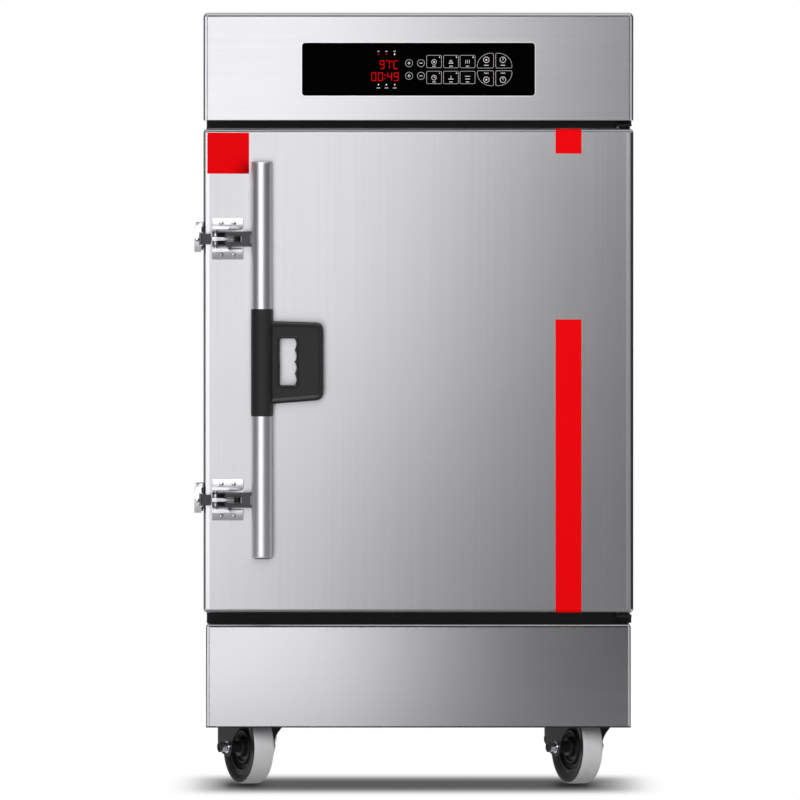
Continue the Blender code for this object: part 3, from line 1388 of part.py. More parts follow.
def make_latch_lever(name, parent, offset, level):
    """Lever of pressed channel from the pivot pin out to the handle rod, slotted for the claw."""
    knee_x = PIVOT_X + LEVER_KNEE
    flat_x = PIVOT_X + LEVER_FLAT
    end = arc((PIVOT_X, PIVOT_Y), LEVER_END_RADIUS, 90, 270, 6)
    outline = end + [
        (knee_x, -LEVER_STAND),
        (flat_x, -LEVER_STAND),
        (ROD_X, ROD_Y - LEVER_ARM_HALF),
        (ROD_X, ROD_Y + LEVER_ARM_HALF),
        (flat_x, -LEVER_BACK),
    ]
    half = LEVER_HALF_HEIGHT
    solid = prism(outline, "z", level - half, level + half)
    inner = half - LEVER_CHEEK
    channel = [
        (PIVOT_X - 2 * LEVER_END_RADIUS, PIVOT_Y + 2 * LEVER_END_RADIUS),
        (PIVOT_X - 2 * LEVER_END_RADIUS, PIVOT_Y - 2 * LEVER_END_RADIUS),
        (PIVOT_X, PIVOT_Y - LEVER_END_RADIUS + LEVER_WEB),
        (knee_x, -LEVER_STAND + LEVER_WEB),
        (flat_x, -LEVER_STAND + LEVER_WEB),
        (ROD_X - ROD_RADIUS, ROD_Y + LEVER_ARM_HALF),
        (flat_x, PIVOT_Y + 2 * LEVER_END_RADIUS),
    ]
    hollow = prism(channel, "z", level - inner, level + inner)
    slot = block(
        (PIVOT_X - 2 * LEVER_END_RADIUS, PIVOT_X + LEVER_SLOT_LENGTH),
        (-LEVER_STAND - OVERRUN, PIVOT_Y + LEVER_END_RADIUS + OVERRUN),
        (level - LEVER_SLOT_HALF, level + LEVER_SLOT_HALF),
    )
    bore = rod(
        (PIVOT_X, PIVOT_Y, level),
        "z",
        LATCH_PIN_RADIUS + SEAT,
        -half - OVERRUN,
        half + OVERRUN,
    )
    saddle = rod(
        (ROD_X, ROD_Y, level), "z", ROD_RADIUS + SEAT, -half - OVERRUN, half + OVERRUN, ROUND_STEPS
    )
    body = fused([solid], [hollow, slot, bore, saddle])
    pin_reach = inner + LEVER_CHEEK / 2
    pin = rod((CLAW_PIVOT_X, PIVOT_Y, level), "z", CLAW_PIN_RADIUS, -pin_reach, pin_reach)
    piece(name, fused([body, pin]), "dark_steel", parent, offset)


def make_claw(name, parent, offset, level):
    """Claw: an eye on the lever's pin, a bar past the pivot pin, and a strap round the door's edge."""
    bar_back = PIVOT_Y - LATCH_PIN_RADIUS - CLAW_BAR_CLEARANCE
    bar_front = bar_back - CLAW_BAR_THICKNESS
    strap_right = PIVOT_X - STRAP_START
    strap_inner = DOOR_EDGE - STRAP_DOOR_CLEARANCE
    strap_outer = strap_inner - STRAP_THICKNESS
    front = bar_back - STRAP_THICKNESS
    bar = [
        (CLAW_PIVOT_X, PIVOT_Y + CLAW_EYE / 2),
        (CLAW_PIVOT_X - 2 * CLAW_EYE, bar_back),
        (strap_right - SEAT, bar_back),
        (strap_right - SEAT, bar_front),
        (CLAW_PIVOT_X - CLAW_EYE, bar_front),
        (CLAW_PIVOT_X, PIVOT_Y - CLAW_EYE / 2),
    ]
    eye = rod((CLAW_PIVOT_X, PIVOT_Y, level), "z", CLAW_EYE, -CLAW_BAR_HALF, CLAW_BAR_HALF)
    tip = STRAP_TIP_DEPTH
    strap = [
        (strap_right, bar_back),
        (strap_inner, bar_back),
        (strap_inner, tip),
        (strap_outer - STRAP_NOSE, tip),
        (strap_outer, tip - STRAP_NOSE_LENGTH),
        (strap_outer, front + STRAP_THICKNESS / 2),
        (strap_outer + STRAP_THICKNESS / 2, front),
        (strap_right, front),
    ]
    shapes = [
        prism(bar, "z", level - CLAW_BAR_HALF, level + CLAW_BAR_HALF),
        eye,
        prism(strap, "z", level - STRAP_HALF, level + STRAP_HALF),
    ]
    bore = rod(
        (CLAW_PIVOT_X, PIVOT_Y, level),
        "z",
        CLAW_PIN_RADIUS + SEAT,
        -CLAW_BAR_HALF - OVERRUN,
        CLAW_BAR_HALF + OVERRUN,
    )
    piece(name, fused(shapes, [bore]), "dark_steel", parent, offset)


def make_keeper(name, cabinet, level):
    """Keeper bracket on the side panel, whose notched front flange takes the claw's tip."""
    side = -BODY_WIDTH / 2 - SEAT
    left = KEEPER_LEFT
    right = DOOR_EDGE - KEEPER_SIDE_CLEARANCE
    front = -KEEPER_FRONT
    outline = [
        (right, front),
        (left, front),
        (left, BODY_FRONT + KEEPER_STEP),
        (side - KEEPER_SHEET, BODY_FRONT + 2 * KEEPER_STEP),
        (side - KEEPER_SHEET, BODY_FRONT + KEEPER_LEG),
        (side, BODY_FRONT + KEEPER_LEG),
        (side, BODY_FRONT + KEEPER_STEP),
        (left + KEEPER_SHEET, BODY_FRONT + KEEPER_STEP - KEEPER_SHEET),
        (left + KEEPER_SHEET, front + KEEPER_SHEET),
        (right, front + KEEPER_SHEET),
    ]
    low, high = level - KEEPER_BELOW, level + KEEPER_ABOVE
    strip = prism(outline, "z", low, high)
    slant = [
        (left - OVERRUN, high - KEEPER_SLANT),
        (left + KEEPER_SLANT + OVERRUN, high + OVERRUN),
        (left - OVERRUN, high + OVERRUN),
    ]
    cut_slant = prism(slant, "y", front - OVERRUN, BODY_FRONT)
    notch = block(
        (right - KEEPER_NOTCH_DEPTH, right + OVERRUN),
        (front - OVERRUN, front + KEEPER_SHEET + OVERRUN),
        (level - KEEPER_NOTCH_HALF, level + KEEPER_NOTCH_HALF),
    )
    screws = [screw_head((left + KEEPER_SCREW_X, front, level), "y", -1)]
    for way in (-1, 1):
        z = (low + high) / 2 + way * KEEPER_SCREW_SPREAD
        place = (side - KEEPER_SHEET, BODY_FRONT + KEEPER_LEG - KEEPER_STEP, z)
        screws.append(screw_head(place, "x", -1))
    piece(name, fused([fused([strip], [cut_slant, notch])] + screws), "stainless", cabinet)


def grip_window():
    """Outline of the finger window, its far side drawn in by four finger scallops."""
    left, right = ROD_X + GRIP_WINDOW_LEFT, ROD_X + GRIP_WINDOW_RIGHT
    low = GRIP_BOTTOM + GRIP_WINDOW_BOTTOM
    high = low + GRIP_WINDOW_HEIGHT
    radius = GRIP_WINDOW_CORNER
    points = []
    run = GRIP_WINDOW_HEIGHT - 2 * radius
    for k in range(SCALLOPS * SCALLOP_STEPS + 1):
        share = k / (SCALLOPS * SCALLOP_STEPS)
        bulge = abs(math.sin(math.pi * SCALLOPS * share))
        points.append((right - SCALLOP_RISE + SCALLOP_RISE * bulge, low + radius + run * share))
    points += arc((right - SCALLOP_RISE - radius, high - radius), radius, 30, 90, 2)
    points += arc((left + radius, high - radius), radius, 90, 180, 3)
    points += arc((left + radius, low + radius), radius, 180, 270, 3)
    points += arc((right - SCALLOP_RISE - radius, low + radius), radius, 270, 330, 2)
    return points


def make_handle(door, offset):
    """Handle: a tube with its grip, and a lever to each latch, all swinging on the latch pins."""
    place = (PIVOT_X - HINGE_X, PIVOT_Y - HINGE_Y, 0)
    swing = frame("handle_axis", door, place)
    around = (PIVOT_X, PIVOT_Y, 0)
    chamfer = ROD_CHAMFER
    top = ROD_BOTTOM + ROD_LENGTH
    profile = [
        (0, top - ROD_WALL),
        (ROD_RADIUS - ROD_WALL - chamfer, top - ROD_WALL),
        (ROD_RADIUS - ROD_WALL, top - ROD_WALL - chamfer),
        (ROD_RADIUS - ROD_WALL, ROD_BOTTOM),
        (ROD_RADIUS, ROD_BOTTOM),
        (ROD_RADIUS, top - chamfer),
        (ROD_RADIUS - chamfer, top),
        (0, top),
    ]
    bar = turned(profile, (ROD_X, ROD_Y, 0), "z")
    piece("handle_rod", bar, "polished", swing, around, smooth=True)
    right = ROD_X + LOOP_RIGHT
    top = GRIP_BOTTOM + GRIP_LENGTH
    left = ROD_X + ROD_RADIUS
    radius = LOOP_CORNER
    outline = [(left, GRIP_BOTTOM + LOOP_BOTTOM_INNER)]
    outline += arc((right - radius, GRIP_BOTTOM + LOOP_BOTTOM_OUTER + radius), radius, -85, 0, 4)
    outline += arc((right - radius, top - LOOP_TOP_OUTER - radius), radius, 0, 88, 4)
    outline += [(left, top - LOOP_TOP_INNER)]
    half = LOOP_THICKNESS / 2
    plate = bevelled(prism(outline, "y", ROD_Y - half, ROD_Y + half), LOOP_EDGE)
    sleeve = rod((ROD_X, ROD_Y, 0), "z", SLEEVE_RADIUS, GRIP_BOTTOM, top, ROUND_STEPS)
    window = prism(grip_window(), "y", ROD_Y - half - OVERRUN, ROD_Y + half + OVERRUN)
    bore = rod(
        (ROD_X, ROD_Y, 0),
        "z",
        ROD_RADIUS + SEAT,
        GRIP_BOTTOM - OVERRUN,
        top + OVERRUN,
        ROUND_STEPS,
    )
    grip = fused([plate, sleeve], [window, bore])
    piece("handle_grip", grip, "grip_plastic", swing, around, smooth=True)
    for where, level in LATCH_LEVELS.items():
        make_latch_base("latch_base_" + where, door, offset, level)
        make_latch_lever("latch_lever_" + where, swing, around, level)
        claw_at = (CLAW_PIVOT_X - PIVOT_X, 0, 0)
        turn = frame("claw_axis_" + where, swing, claw_at)
        make_claw("claw_" + where, turn, (CLAW_PIVOT_X, PIVOT_Y, 0), level)


def bevelled(shape, width):
    """Break the edges of a plate's two broad faces."""
    bevel = shape.modifiers.new("edge", "BEVEL")
    bevel.width = width
    bevel.segments = 1
    bevel.limit_method = "ANGLE"
    bevel.angle_limit = math.radians(60)
    return baked(shape)


def main():
    clear_scene()
    shift_x = KEEPER_OUTREACH / 2
    shift_y = (FRONT_REACH - VALVE_END) / 2
    cabinet = frame("cabinet_place", None, (shift_x, shift_y, 0))
    make_liner(cabinet)
    make_insulation(cabinet)
    make_side("side_panel_left", cabinet, -1)
    make_side("side_panel_right", cabinet, 1)
    make_back(cabinet)
    make_cap(cabinet)
    make_controls(cabinet)
    make_gland(cabinet)
    make_base(cabinet)
    make_necks(cabinet)
    make_rack("rack_left", cabinet, -1)
    make_rack("rack_right", cabinet, 1)
    make_trays(cabinet)
    make_baffle(cabinet)
    make_heater(cabinet)
    make_vent(cabinet)
    make_drain(cabinet)
    make_float_tank(cabinet)
    make_castors(cabinet)
    door = make_door(cabinet)
    make_brackets(cabinet)
    make_handle(door, (HINGE_X, HINGE_Y, 0))
    for where, level in LATCH_LEVELS.items():
        make_keeper("keeper_" + where, cabinet, level)


main()
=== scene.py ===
"""Looks of a rice steamer cabinet: sheet metal, door, latches, castors, touch panel, trays and studio.

Metres, +Z up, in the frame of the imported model. The front faces -Y.
Each sub-assembly is a class: its fields are sizes, and its methods build and dress its pieces.
Forms are lofts: a stack of loops, where a loop is an outline drawn in by some distance at some level.
"""

import sys

import json
import logging
import math
from collections.abc import Callable, Iterable, Sequence
from dataclasses import dataclass, field, replace
from enum import Enum, auto

import bmesh
import bpy
import numpy as np
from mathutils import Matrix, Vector

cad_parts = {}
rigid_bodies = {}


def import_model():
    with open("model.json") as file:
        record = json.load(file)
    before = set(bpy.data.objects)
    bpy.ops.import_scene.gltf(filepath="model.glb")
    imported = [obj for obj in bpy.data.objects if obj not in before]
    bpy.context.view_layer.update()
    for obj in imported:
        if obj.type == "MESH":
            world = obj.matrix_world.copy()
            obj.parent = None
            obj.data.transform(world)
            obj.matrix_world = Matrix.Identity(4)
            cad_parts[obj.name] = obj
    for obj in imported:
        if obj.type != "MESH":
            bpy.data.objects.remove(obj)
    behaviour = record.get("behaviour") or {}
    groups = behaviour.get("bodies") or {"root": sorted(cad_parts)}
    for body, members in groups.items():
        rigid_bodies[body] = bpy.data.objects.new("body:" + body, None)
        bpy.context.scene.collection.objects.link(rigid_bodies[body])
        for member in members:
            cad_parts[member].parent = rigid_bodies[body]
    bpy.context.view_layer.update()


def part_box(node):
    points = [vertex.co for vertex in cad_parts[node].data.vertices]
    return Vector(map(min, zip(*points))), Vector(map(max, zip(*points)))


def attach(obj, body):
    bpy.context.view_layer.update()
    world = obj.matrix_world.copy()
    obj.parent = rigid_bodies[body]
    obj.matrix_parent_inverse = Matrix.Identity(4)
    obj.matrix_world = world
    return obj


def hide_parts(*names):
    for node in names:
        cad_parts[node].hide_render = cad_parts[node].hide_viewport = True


LOG = logging.getLogger("steam_cabinet")

Array = np.ndarray
Outline = Callable[[float], Array]
Span = tuple[float, float]
Point = tuple[float, float, float]
Colour = tuple[float, float, float]
Line = Sequence[Sequence[float]]

HAIR = 0.00002
SEAT = 0.0003
FILM = 0.00025
CREASE = 38.0
ORIGIN: Point = (0.0, 0.0, 0.0)


class Axis(Enum):
    """The direction that an outline is carried along."""

    X = 0
    Y = 1
    Z = 2


class Grain(Enum):
    """How fast a pattern changes along X, Y and Z, in cycles a metre."""

    UPRIGHT = (300.0, 300.0, 1.6)
    ACROSS = (1.6, 300.0, 300.0)
    FINE = (900.0, 900.0, 900.0)
    COARSE = (140.0, 140.0, 140.0)
    SPANGLE = (95.0, 95.0, 95.0)


class Pattern(Enum):
    """The texture that gives a finish its small detail, and the output that is used."""

    CLOUD = ("TexNoise", "Fac")
    CELL = ("TexVoronoi", "Color")


# ---- shapes ----


@dataclass
class Shape:
    """One closed surface: its points, its quads, and its flat ends as rows of point numbers."""

    points: Array
    quads: Array
    caps: list[Array] = field(default_factory=list)

    def moved(self, shift: Sequence[float]) -> "Shape":
        """The same surface, moved."""
        return Shape(self.points + np.asarray(shift, float), self.quads, self.caps)

    def spun(self, angle: float) -> "Shape":
        """The surface turned about Z: x' = x cos a - y sin a and y' = x sin a + y cos a."""
        cos, sin = math.cos(angle), math.sin(angle)
        turn = np.array([[cos, -sin, 0], [sin, cos, 0], [0, 0, 1]])
        return Shape(self.points @ turn.T, self.quads, self.caps)

    def volume(self) -> float:
        """Signed volume: a sixth of the sum of a . (b x c) over the triangles of all faces."""
        fans = [self.quads[:, [0, 1, 2]], self.quads[:, [0, 2, 3]]]
        for cap in self.caps:
            rest = np.stack([cap[1:-1], cap[2:]], axis=1)
            fans.append(np.column_stack([np.full(len(rest), cap[0]), rest]))
        a, b, c = (self.points[np.concatenate(fans)[:, k]] for k in range(3))
        return float(np.einsum("ij,ij->i", a, np.cross(b, c)).sum() / 6)

    def faces(self) -> list[list[int]]:
        """All faces as lists of point numbers, turned so that they look outwards."""
        rows = [*self.quads.tolist(), *(cap.tolist() for cap in self.caps)]
        return rows if self.volume() > 0 else [row[::-1] for row in rows]


def loft(loops: Array, closed: bool = False) -> Shape:
    """Skin a stack of loops.

    Quad (i, j) joins points j and j + 1 of loop i to the same points of loop i + 1.

    Args:
        loops: Array of loops by points by 3.
        closed: Join the last loop to the first, as in a ring, in place of two flat ends.

    Returns:
        The closed surface.
    """
    count, size = loops.shape[:2]
    i, j = np.meshgrid(np.arange(count if closed else count - 1), np.arange(size), indexing="ij")
    above, beside = (i + 1) % count, (j + 1) % size
    corners = [i * size + j, i * size + beside, above * size + beside, above * size + j]
    quads = np.stack(corners, axis=-1).reshape(-1, 4)
    ends = [] if closed else [np.arange(size)[::-1], (count - 1) * size + np.arange(size)]
    return Shape(loops.reshape(-1, 3), quads, ends)


def unit(vectors: Array) -> Array:
    """Vectors of length one."""
    return vectors / np.maximum(np.linalg.norm(vectors, axis=-1, keepdims=True), 1e-12)


def polar(turn: Array) -> Array:
    """Points (cos a, sin a) on the circle of radius one."""
    return np.stack([np.cos(turn), np.sin(turn)], axis=-1)


def about(centre: float, half: float) -> Span:
    """The span that reaches as far on both sides of a centre."""
    return centre - half, centre + half


def middle_of(node: str) -> Point:
    """The middle of a CAD node's box."""
    return tuple((a + b) / 2 for a, b in zip(*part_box(node)))


def eased(points: Line, reach: float, steps: int = 3, ring: bool = True) -> Array:
    """Round the corners of a line of points.

    Corner p becomes the curve (1 - t)^2 a + 2 t (1 - t) p + t^2 b, where a and b lie on its two
    sides, at most the reach away from p and never past the middle of a side.

    Args:
        points: The corners.
        reach: How far along each side the rounding starts.
        steps: Faces in each rounded corner.
        ring: The line closes on itself. Otherwise its two ends stay sharp.

    Returns:
        Array of points by 2.
    """
    corner = np.asarray(points, float)
    before, after = np.roll(corner, 1, 0) - corner, np.roll(corner, -1, 0) - corner
    lengths = [np.linalg.norm(side, axis=1, keepdims=True) for side in (before, after)]
    limit = np.minimum(reach, 0.48 * np.minimum(*lengths))
    if not ring:
        limit[[0, -1]] = 0
    t = np.linspace(0, 1, steps + 1)[None, :, None]
    a, b = (corner + unit(side) * limit for side in (before, after))
    curve = (1 - t) ** 2 * a[:, None] + 2 * t * (1 - t) * corner[:, None] + t**2 * b[:, None]
    flat = curve.reshape(-1, 2)
    return flat[np.linalg.norm(flat - np.roll(flat, 1, 0), axis=1) > HAIR / 10]


def polygon(points: Line, corner: float = 0.0, steps: int = 3) -> Outline:
    """An outline from corners, drawn in along the mitre of each corner.

    Point p drawn in by d is p + d m, where m points inwards and its share along each side's
    normal is one.

    Args:
        points: The corners in order.
        corner: How far along the sides a corner's rounding starts.
        steps: Faces in each rounded corner.

    Returns:
        The outline as a function of the distance that it is drawn in.
    """
    base = eased(points, corner, steps) if corner else np.asarray(points, float)
    ahead = np.roll(base, -1, 0)
    area = float((base[:, 0] * ahead[:, 1] - base[:, 1] * ahead[:, 0]).sum())
    side = unit(ahead - base) * math.copysign(1, area)
    normal = np.stack([-side[:, 1], side[:, 0]], axis=1)
    blend = normal + np.roll(normal, 1, 0)
    mitre = blend / np.maximum((blend * normal).sum(axis=1, keepdims=True), 0.5)
    return lambda inset: base + inset * mitre


def round_rect(x: Span, y: Span, radius: float, steps: int = 6) -> Outline:
    """A rectangle with round corners: quarter circles of the radius less the inset, joined by lines."""

    def at(inset: float) -> Array:
        r = max(radius - inset, HAIR)
        right, left = max(x) - inset - r, min(x) + inset + r
        top, low = max(y) - inset - r, min(y) + inset + r
        turn = np.radians(90 * np.arange(4)[:, None] + np.linspace(0, 90, steps + 1))
        middles = np.array([(right, top), (left, top), (left, low), (right, low)])[:, None]
        return (middles + r * polar(turn)).reshape(-1, 2)

    return at


def circle(x: float, y: float, radius: float, steps: int = 32) -> Outline:
    """A circle: the centre plus (radius - inset) times (cos a, sin a)."""
    around = polar(np.linspace(0, math.tau, steps, endpoint=False))
    return lambda inset: np.array([x, y]) + max(radius - inset, HAIR) * around


def placed(flat: Array, level: Array | float, axis: Axis) -> Array:
    """Put flat points at a level of an axis: the level goes in as that axis's coordinate."""
    column = np.broadcast_to(np.asarray(level, float), flat.shape[:-1])[..., None]
    parts = [flat[..., :1], flat[..., 1:]]
    parts.insert(axis.value, column)
    return np.concatenate(parts, axis=-1)


def drawn(outline: Outline, profile: Iterable[Sequence[float]], axis: Axis, closed: bool = False) -> Shape:
    """Loft an outline through (inset, level) pairs along an axis."""
    return loft(np.stack([placed(outline(inset), level, axis) for inset, level in profile]), closed)


def plate(outline: Outline, axis: Axis, span: Span, edge: float = 0.0004, steps: int = 2) -> Shape:
    """A plate whose two rims are quarter circles of the edge's radius."""
    sin, cos = (edge * (1 - f(np.linspace(0, math.pi / 2, steps + 1))) for f in (np.sin, np.cos))
    foot = np.stack([sin, min(span) + cos], axis=1)
    head = np.stack([cos, max(span) - sin], axis=1)
    return drawn(outline, [*foot, *head], axis)


def slab(x: Span, y: Span, z: Span, edge: float = 0.0004) -> Shape:
    """A box with soft edges, lofted along the axis that it is thinnest on."""
    spans = (x, y, z)
    thin = int(np.argmin([max(s) - min(s) for s in spans]))
    first, second = (spans[k] for k in range(3) if k != thin)
    return plate(round_rect(first, second, edge, 2), Axis(thin), spans[thin], edge)


def pan(
    outline: Outline, axis: Axis, face: float, rim: float, bend: float, sheet: float, hem: float = 0.0
) -> Shape:
    """A bent pan: a flat face, a quarter-circle bend, walls up to an open rim, and the same inside.

    Args:
        outline: The pan's outer outline.
        axis: The direction from face to rim.
        face: Level of the outside of the face.
        rim: Level of the open rim.
        bend: Outer radius of the bend.
        sheet: Thickness of the sheet.
        hem: Height of the sheet folded back on itself at the rim.

    Returns:
        The closed sheet, lofted from the middle of the inner face round the rim to the outer face.
    """
    way = math.copysign(1, rim - face)
    turn = np.linspace(0, math.pi / 2, 9)
    outer, inner = (
        np.stack([start + r * (1 - np.sin(turn)), face + way * (start + r * (1 - np.cos(turn)))], axis=1)
        for start, r in ((0.0, bend), (sheet, bend - sheet))
    )
    lip = [(sheet, rim), (0.0, rim)]
    if hem:
        half = np.linspace(0, math.pi, 9)
        fold = np.stack([sheet * (1 + np.cos(half)), rim - way * sheet * (1 - np.sin(half))], axis=1)
        lip = [(sheet, rim - way * hem), (2 * sheet, rim - way * hem), *fold]
    return drawn(outline, [*inner, *lip, *outer[::-1]], axis)


def lathe(
    profile: Line | Array, centre: Sequence[float], axis: Axis, steps: int = 48, closed: bool = True
) -> Shape:
    """Spin a line of (radius, height) pairs about an axis: (r cos a, r sin a) at height h for all a.

    Args:
        profile: The line.
        centre: Where the axis passes, and the zero of the heights.
        axis: The axis.
        steps: Faces round the axis.
        closed: The line closes on itself. Otherwise its two ends become flat caps.

    Returns:
        The closed surface.
    """
    radius, height = np.asarray(profile, float).T
    around = polar(np.linspace(0, math.tau, steps, endpoint=False))
    flat = np.maximum(radius, HAIR)[:, None, None] * around
    return loft(placed(flat, height[:, None], axis), closed).moved(centre)


def turned(profile: Line | Array, centre: Sequence[float], axis: Axis, steps: int = 32) -> Shape:
    """Spin a line of (radius, height) pairs whose two ends are carried in to the axis."""
    line = [(HAIR, profile[0][1]), *profile, (HAIR, profile[-1][1])]
    return lathe(line, centre, axis, steps, closed=False)


def rod(radius: float, span: Span, centre: Sequence[float], axis: Axis, steps: int = 32) -> Shape:
    """A plain round bar between two levels of its axis."""
    return turned([(radius, level) for level in span], centre, axis, steps)


def tube(path: Array, radius: float, steps: int = 14) -> Shape:
    """A round bar along a level path: p + r (cos a s + sin a u), where s and u are square to it."""
    ahead = unit(np.gradient(path, axis=0))
    side = unit(np.cross(ahead, (0.0, 0.0, 1.0)))
    over = np.cross(side, ahead)
    turn = np.linspace(0, math.tau, steps, endpoint=False)[None, :, None]
    return loft(path[:, None] + radius * (np.cos(turn) * side[:, None] + np.sin(turn) * over[:, None]))


def flat_ring(outer: Outline, width: float, axis: Axis, low: float, high: float) -> Shape:
    """A thin frame of an even width, whose section is the rectangle between the two levels."""
    return drawn(outer, [(0, low), (width, low), (width, high), (0, high)], axis, closed=True)


def dome(x: float, z: float, face: float, radius: float, height: float, way: float = -1) -> Shape:
    """A screw's domed head on a plate that faces along Y: height times cos of the reach to its rim."""
    turn = np.linspace(0, math.pi / 2, 7)[::-1]
    foot = face - way * SEAT
    crown = [(radius * math.sin(a), face + way * height * (0.25 + 0.75 * math.cos(a))) for a in turn]
    return lathe([(HAIR, foot), (radius, foot), *crown], (x, 0, z), Axis.Y, 24, closed=False)


def cross_slot(x: float, z: float, face: float, length: float) -> list[Shape]:
    """The cross of a screw's drive, as two thin bars just proud of the head, for the painted shade of its recess."""
    bars = ((length / 2, length / 9), (length / 9, length / 2))
    return [slab(about(x, a), (face, face - FILM), about(z, b), FILM / 3) for a, b in bars]


# ---- finishes ----


def feed(tree: bpy.types.NodeTree, node: bpy.types.Node, inputs: dict) -> None:
    """Link each named input of a shader node to a socket, or set it to a value."""
    for name, value in inputs.items():
        if isinstance(value, bpy.types.NodeSocket):
            tree.links.new(value, node.inputs[name])
        else:
            node.inputs[name].default_value = value


def add_node(tree: bpy.types.NodeTree, kind: str, output: str, inputs: dict, **settings) -> bpy.types.NodeSocket:
    """Add a shader node.

    Args:
        tree: The node tree.
        kind: The node's type, without its prefix.
        output: The output that is wanted.
        inputs: A socket or a value for each input.
        settings: The node's own settings.

    Returns:
        The output's socket.
    """
    node = tree.nodes.new(f"ShaderNode{kind}")
    for name, value in settings.items():
        setattr(node, name, value)
    feed(tree, node, inputs)
    return node.outputs[output]


@dataclass(frozen=True)
class Finish:
    """A procedural finish: a pattern that shades the colour, the gloss and the relief of a surface.

    Two patterns on Object coordinates are used. The fine one, with the grain's scale, lightens and
    darkens the colour, changes the roughness and lifts the surface. The broad one gives slow smudges.
    """

    name: str
    colour: Colour
    metallic: float = 0.0
    roughness: float = 0.5
    grain: Grain = Grain.FINE
    pattern: Pattern = Pattern.CLOUD
    shade: float = 0.06
    gloss_shift: float = 0.08
    relief: float = 0.00002
    smudge: float = 0.05
    smudge_scale: float = 6.0
    coat: float = 0.0
    glow: float = 0.0
    wear: float = 0.0
    shine: float = 0.5

    def material(self) -> bpy.types.Material:
        """The finish's material, made once."""
        return bpy.data.materials.get(self.name) or self._build()

    def _build(self) -> bpy.types.Material:
        """Wire the two patterns to the shader's colour, roughness and normal."""
        material = bpy.data.materials.new(self.name)
        material.use_nodes = True
        material.diffuse_color = (*self.colour, 1.0)
        tree = material.node_tree
        place = add_node(tree, "TexCoord", "Object", {})
        stretched = add_node(tree, "Mapping", "Vector", {"Vector": place, "Scale": self.grain.value})
        texture = {"Vector": stretched, "Scale": 1.0}
        if self.pattern is Pattern.CLOUD:
            texture |= {"Detail": 4.0, "Roughness": 0.62}
        fine = add_node(tree, *self.pattern.value, texture)
        smear = {"Vector": place, "Scale": self.smudge_scale, "Detail": 3.0}
        broad = add_node(tree, "TexNoise", "Fac", smear)
        lightness = self._sum(tree, (fine, self.shade), (broad, self.smudge), 1.0)
        if self.wear:
            lightness = self._worn(tree, lightness)
        gloss = self._sum(tree, (fine, self.gloss_shift), (broad, self.gloss_shift), self.roughness)
        scaled = {0: self.colour, "Scale": lightness}
        inputs = {
            "Metallic": self.metallic,
            "Specular IOR Level": self.shine,
            "Base Color": add_node(tree, "VectorMath", "Vector", scaled, operation="SCALE"),
            "Roughness": gloss,
            "Normal": add_node(
                tree, "Bump", "Normal", {"Distance": self.relief, "Strength": 1.0, "Height": fine}
            ),
        }
        if self.coat:
            inputs |= {"Coat Weight": self.coat, "Coat Roughness": 0.08}
        if self.glow:
            inputs |= {"Emission Color": (*self.colour, 1.0), "Emission Strength": self.glow}
        feed(tree, tree.nodes["Principled BSDF"], inputs)
        return material

    def _worn(self, tree: bpy.types.NodeTree, level: bpy.types.NodeSocket) -> bpy.types.NodeSocket:
        """Lighten the sharpest edges, where paint rubs thin."""
        sharp = add_node(tree, "NewGeometry", "Pointiness", {})
        ramp = {"Value": sharp, "From Min": 0.53, "From Max": 0.62, "To Max": self.wear}
        return add_node(tree, "Math", "Value", {0: level, 1: add_node(tree, "MapRange", "Result", ramp)})

    @staticmethod
    def _sum(
        tree: bpy.types.NodeTree,
        first: tuple[bpy.types.NodeSocket, float],
        second: tuple[bpy.types.NodeSocket, float],
        middle: float,
    ) -> bpy.types.NodeSocket:
        """The middle plus each pattern's weight times its value less a half."""
        level = middle - (first[1] + second[1]) / 2
        for socket, weight in (first, second):
            level = add_node(tree, "Math", "Value", {0: socket, 1: weight, 2: level}, operation="MULTIPLY_ADD")
        return level


UPRIGHT_STEEL = Finish(
    "satin_steel_upright", (0.60, 0.60, 0.62), 1.0, 0.29, Grain.UPRIGHT,
    shade=0.15, gloss_shift=0.02, relief=0.000002, smudge=0.02,
)
ACROSS_STEEL = replace(UPRIGHT_STEEL, name="satin_steel_across", grain=Grain.ACROSS)
BASE_STEEL = replace(ACROSS_STEEL, name="satin_steel_base", roughness=0.24)
# Lighter and darker copies of the upright steel: painted highlight bands and painted dark reflection lines for the
# door's side edges.
PAINTED_HIGHLIGHT_STEEL = replace(UPRIGHT_STEEL, name="satin_steel_hem", colour=(0.80, 0.80, 0.82), shade=0.06)
PAINTED_DARK_REFLECTION_STEEL = replace(UPRIGHT_STEEL, name="satin_steel_edge", colour=(0.22, 0.22, 0.23), shade=0.06)
MILL_STEEL = Finish("mill_steel", (0.62, 0.62, 0.63), 1.0, 0.28, Grain.ACROSS, shade=0.05, smudge=0.10)
TRAY_STEEL = Finish("drawn_tray_steel", (0.66, 0.66, 0.67), 1.0, 0.20, Grain.COARSE, shade=0.04)
BRIGHT_TUBE = Finish(
    "polished_tube", (0.84, 0.84, 0.87), 1.0, 0.42, Grain.UPRIGHT, shade=0.03, gloss_shift=0.02, relief=0.000001
)
BRIGHT_STEEL = Finish("bright_fitting", (0.78, 0.78, 0.80), 1.0, 0.34, Grain.ACROSS, shade=0.05, gloss_shift=0.03)
SCREW_STEEL = Finish("bright_screw", (0.84, 0.84, 0.86), 1.0, 0.14, shade=0.04, gloss_shift=0.03)
# Near black for slits and screw drives: painted shade in their recesses.
SLOT_SHADOW = Finish("dirt_in_drive", (0.02, 0.02, 0.022), 0.0, 0.8)
ZINC = Finish(
    "zinc_plate", (0.56, 0.58, 0.60), 1.0, 0.38, Grain.SPANGLE, Pattern.CELL, shade=0.16, gloss_shift=0.16
)
DARK_PAINT = Finish(
    "dark_grey_paint", (0.062, 0.062, 0.066), 0.0, 0.42, Grain.COARSE, shade=0.2, smudge=0.2, wear=1.4
)
FORK_PAINT = Finish(
    "black_fork_paint", (0.022, 0.022, 0.025), 0.0, 0.34, Grain.COARSE, shade=0.3, smudge=0.3, wear=1.2
)
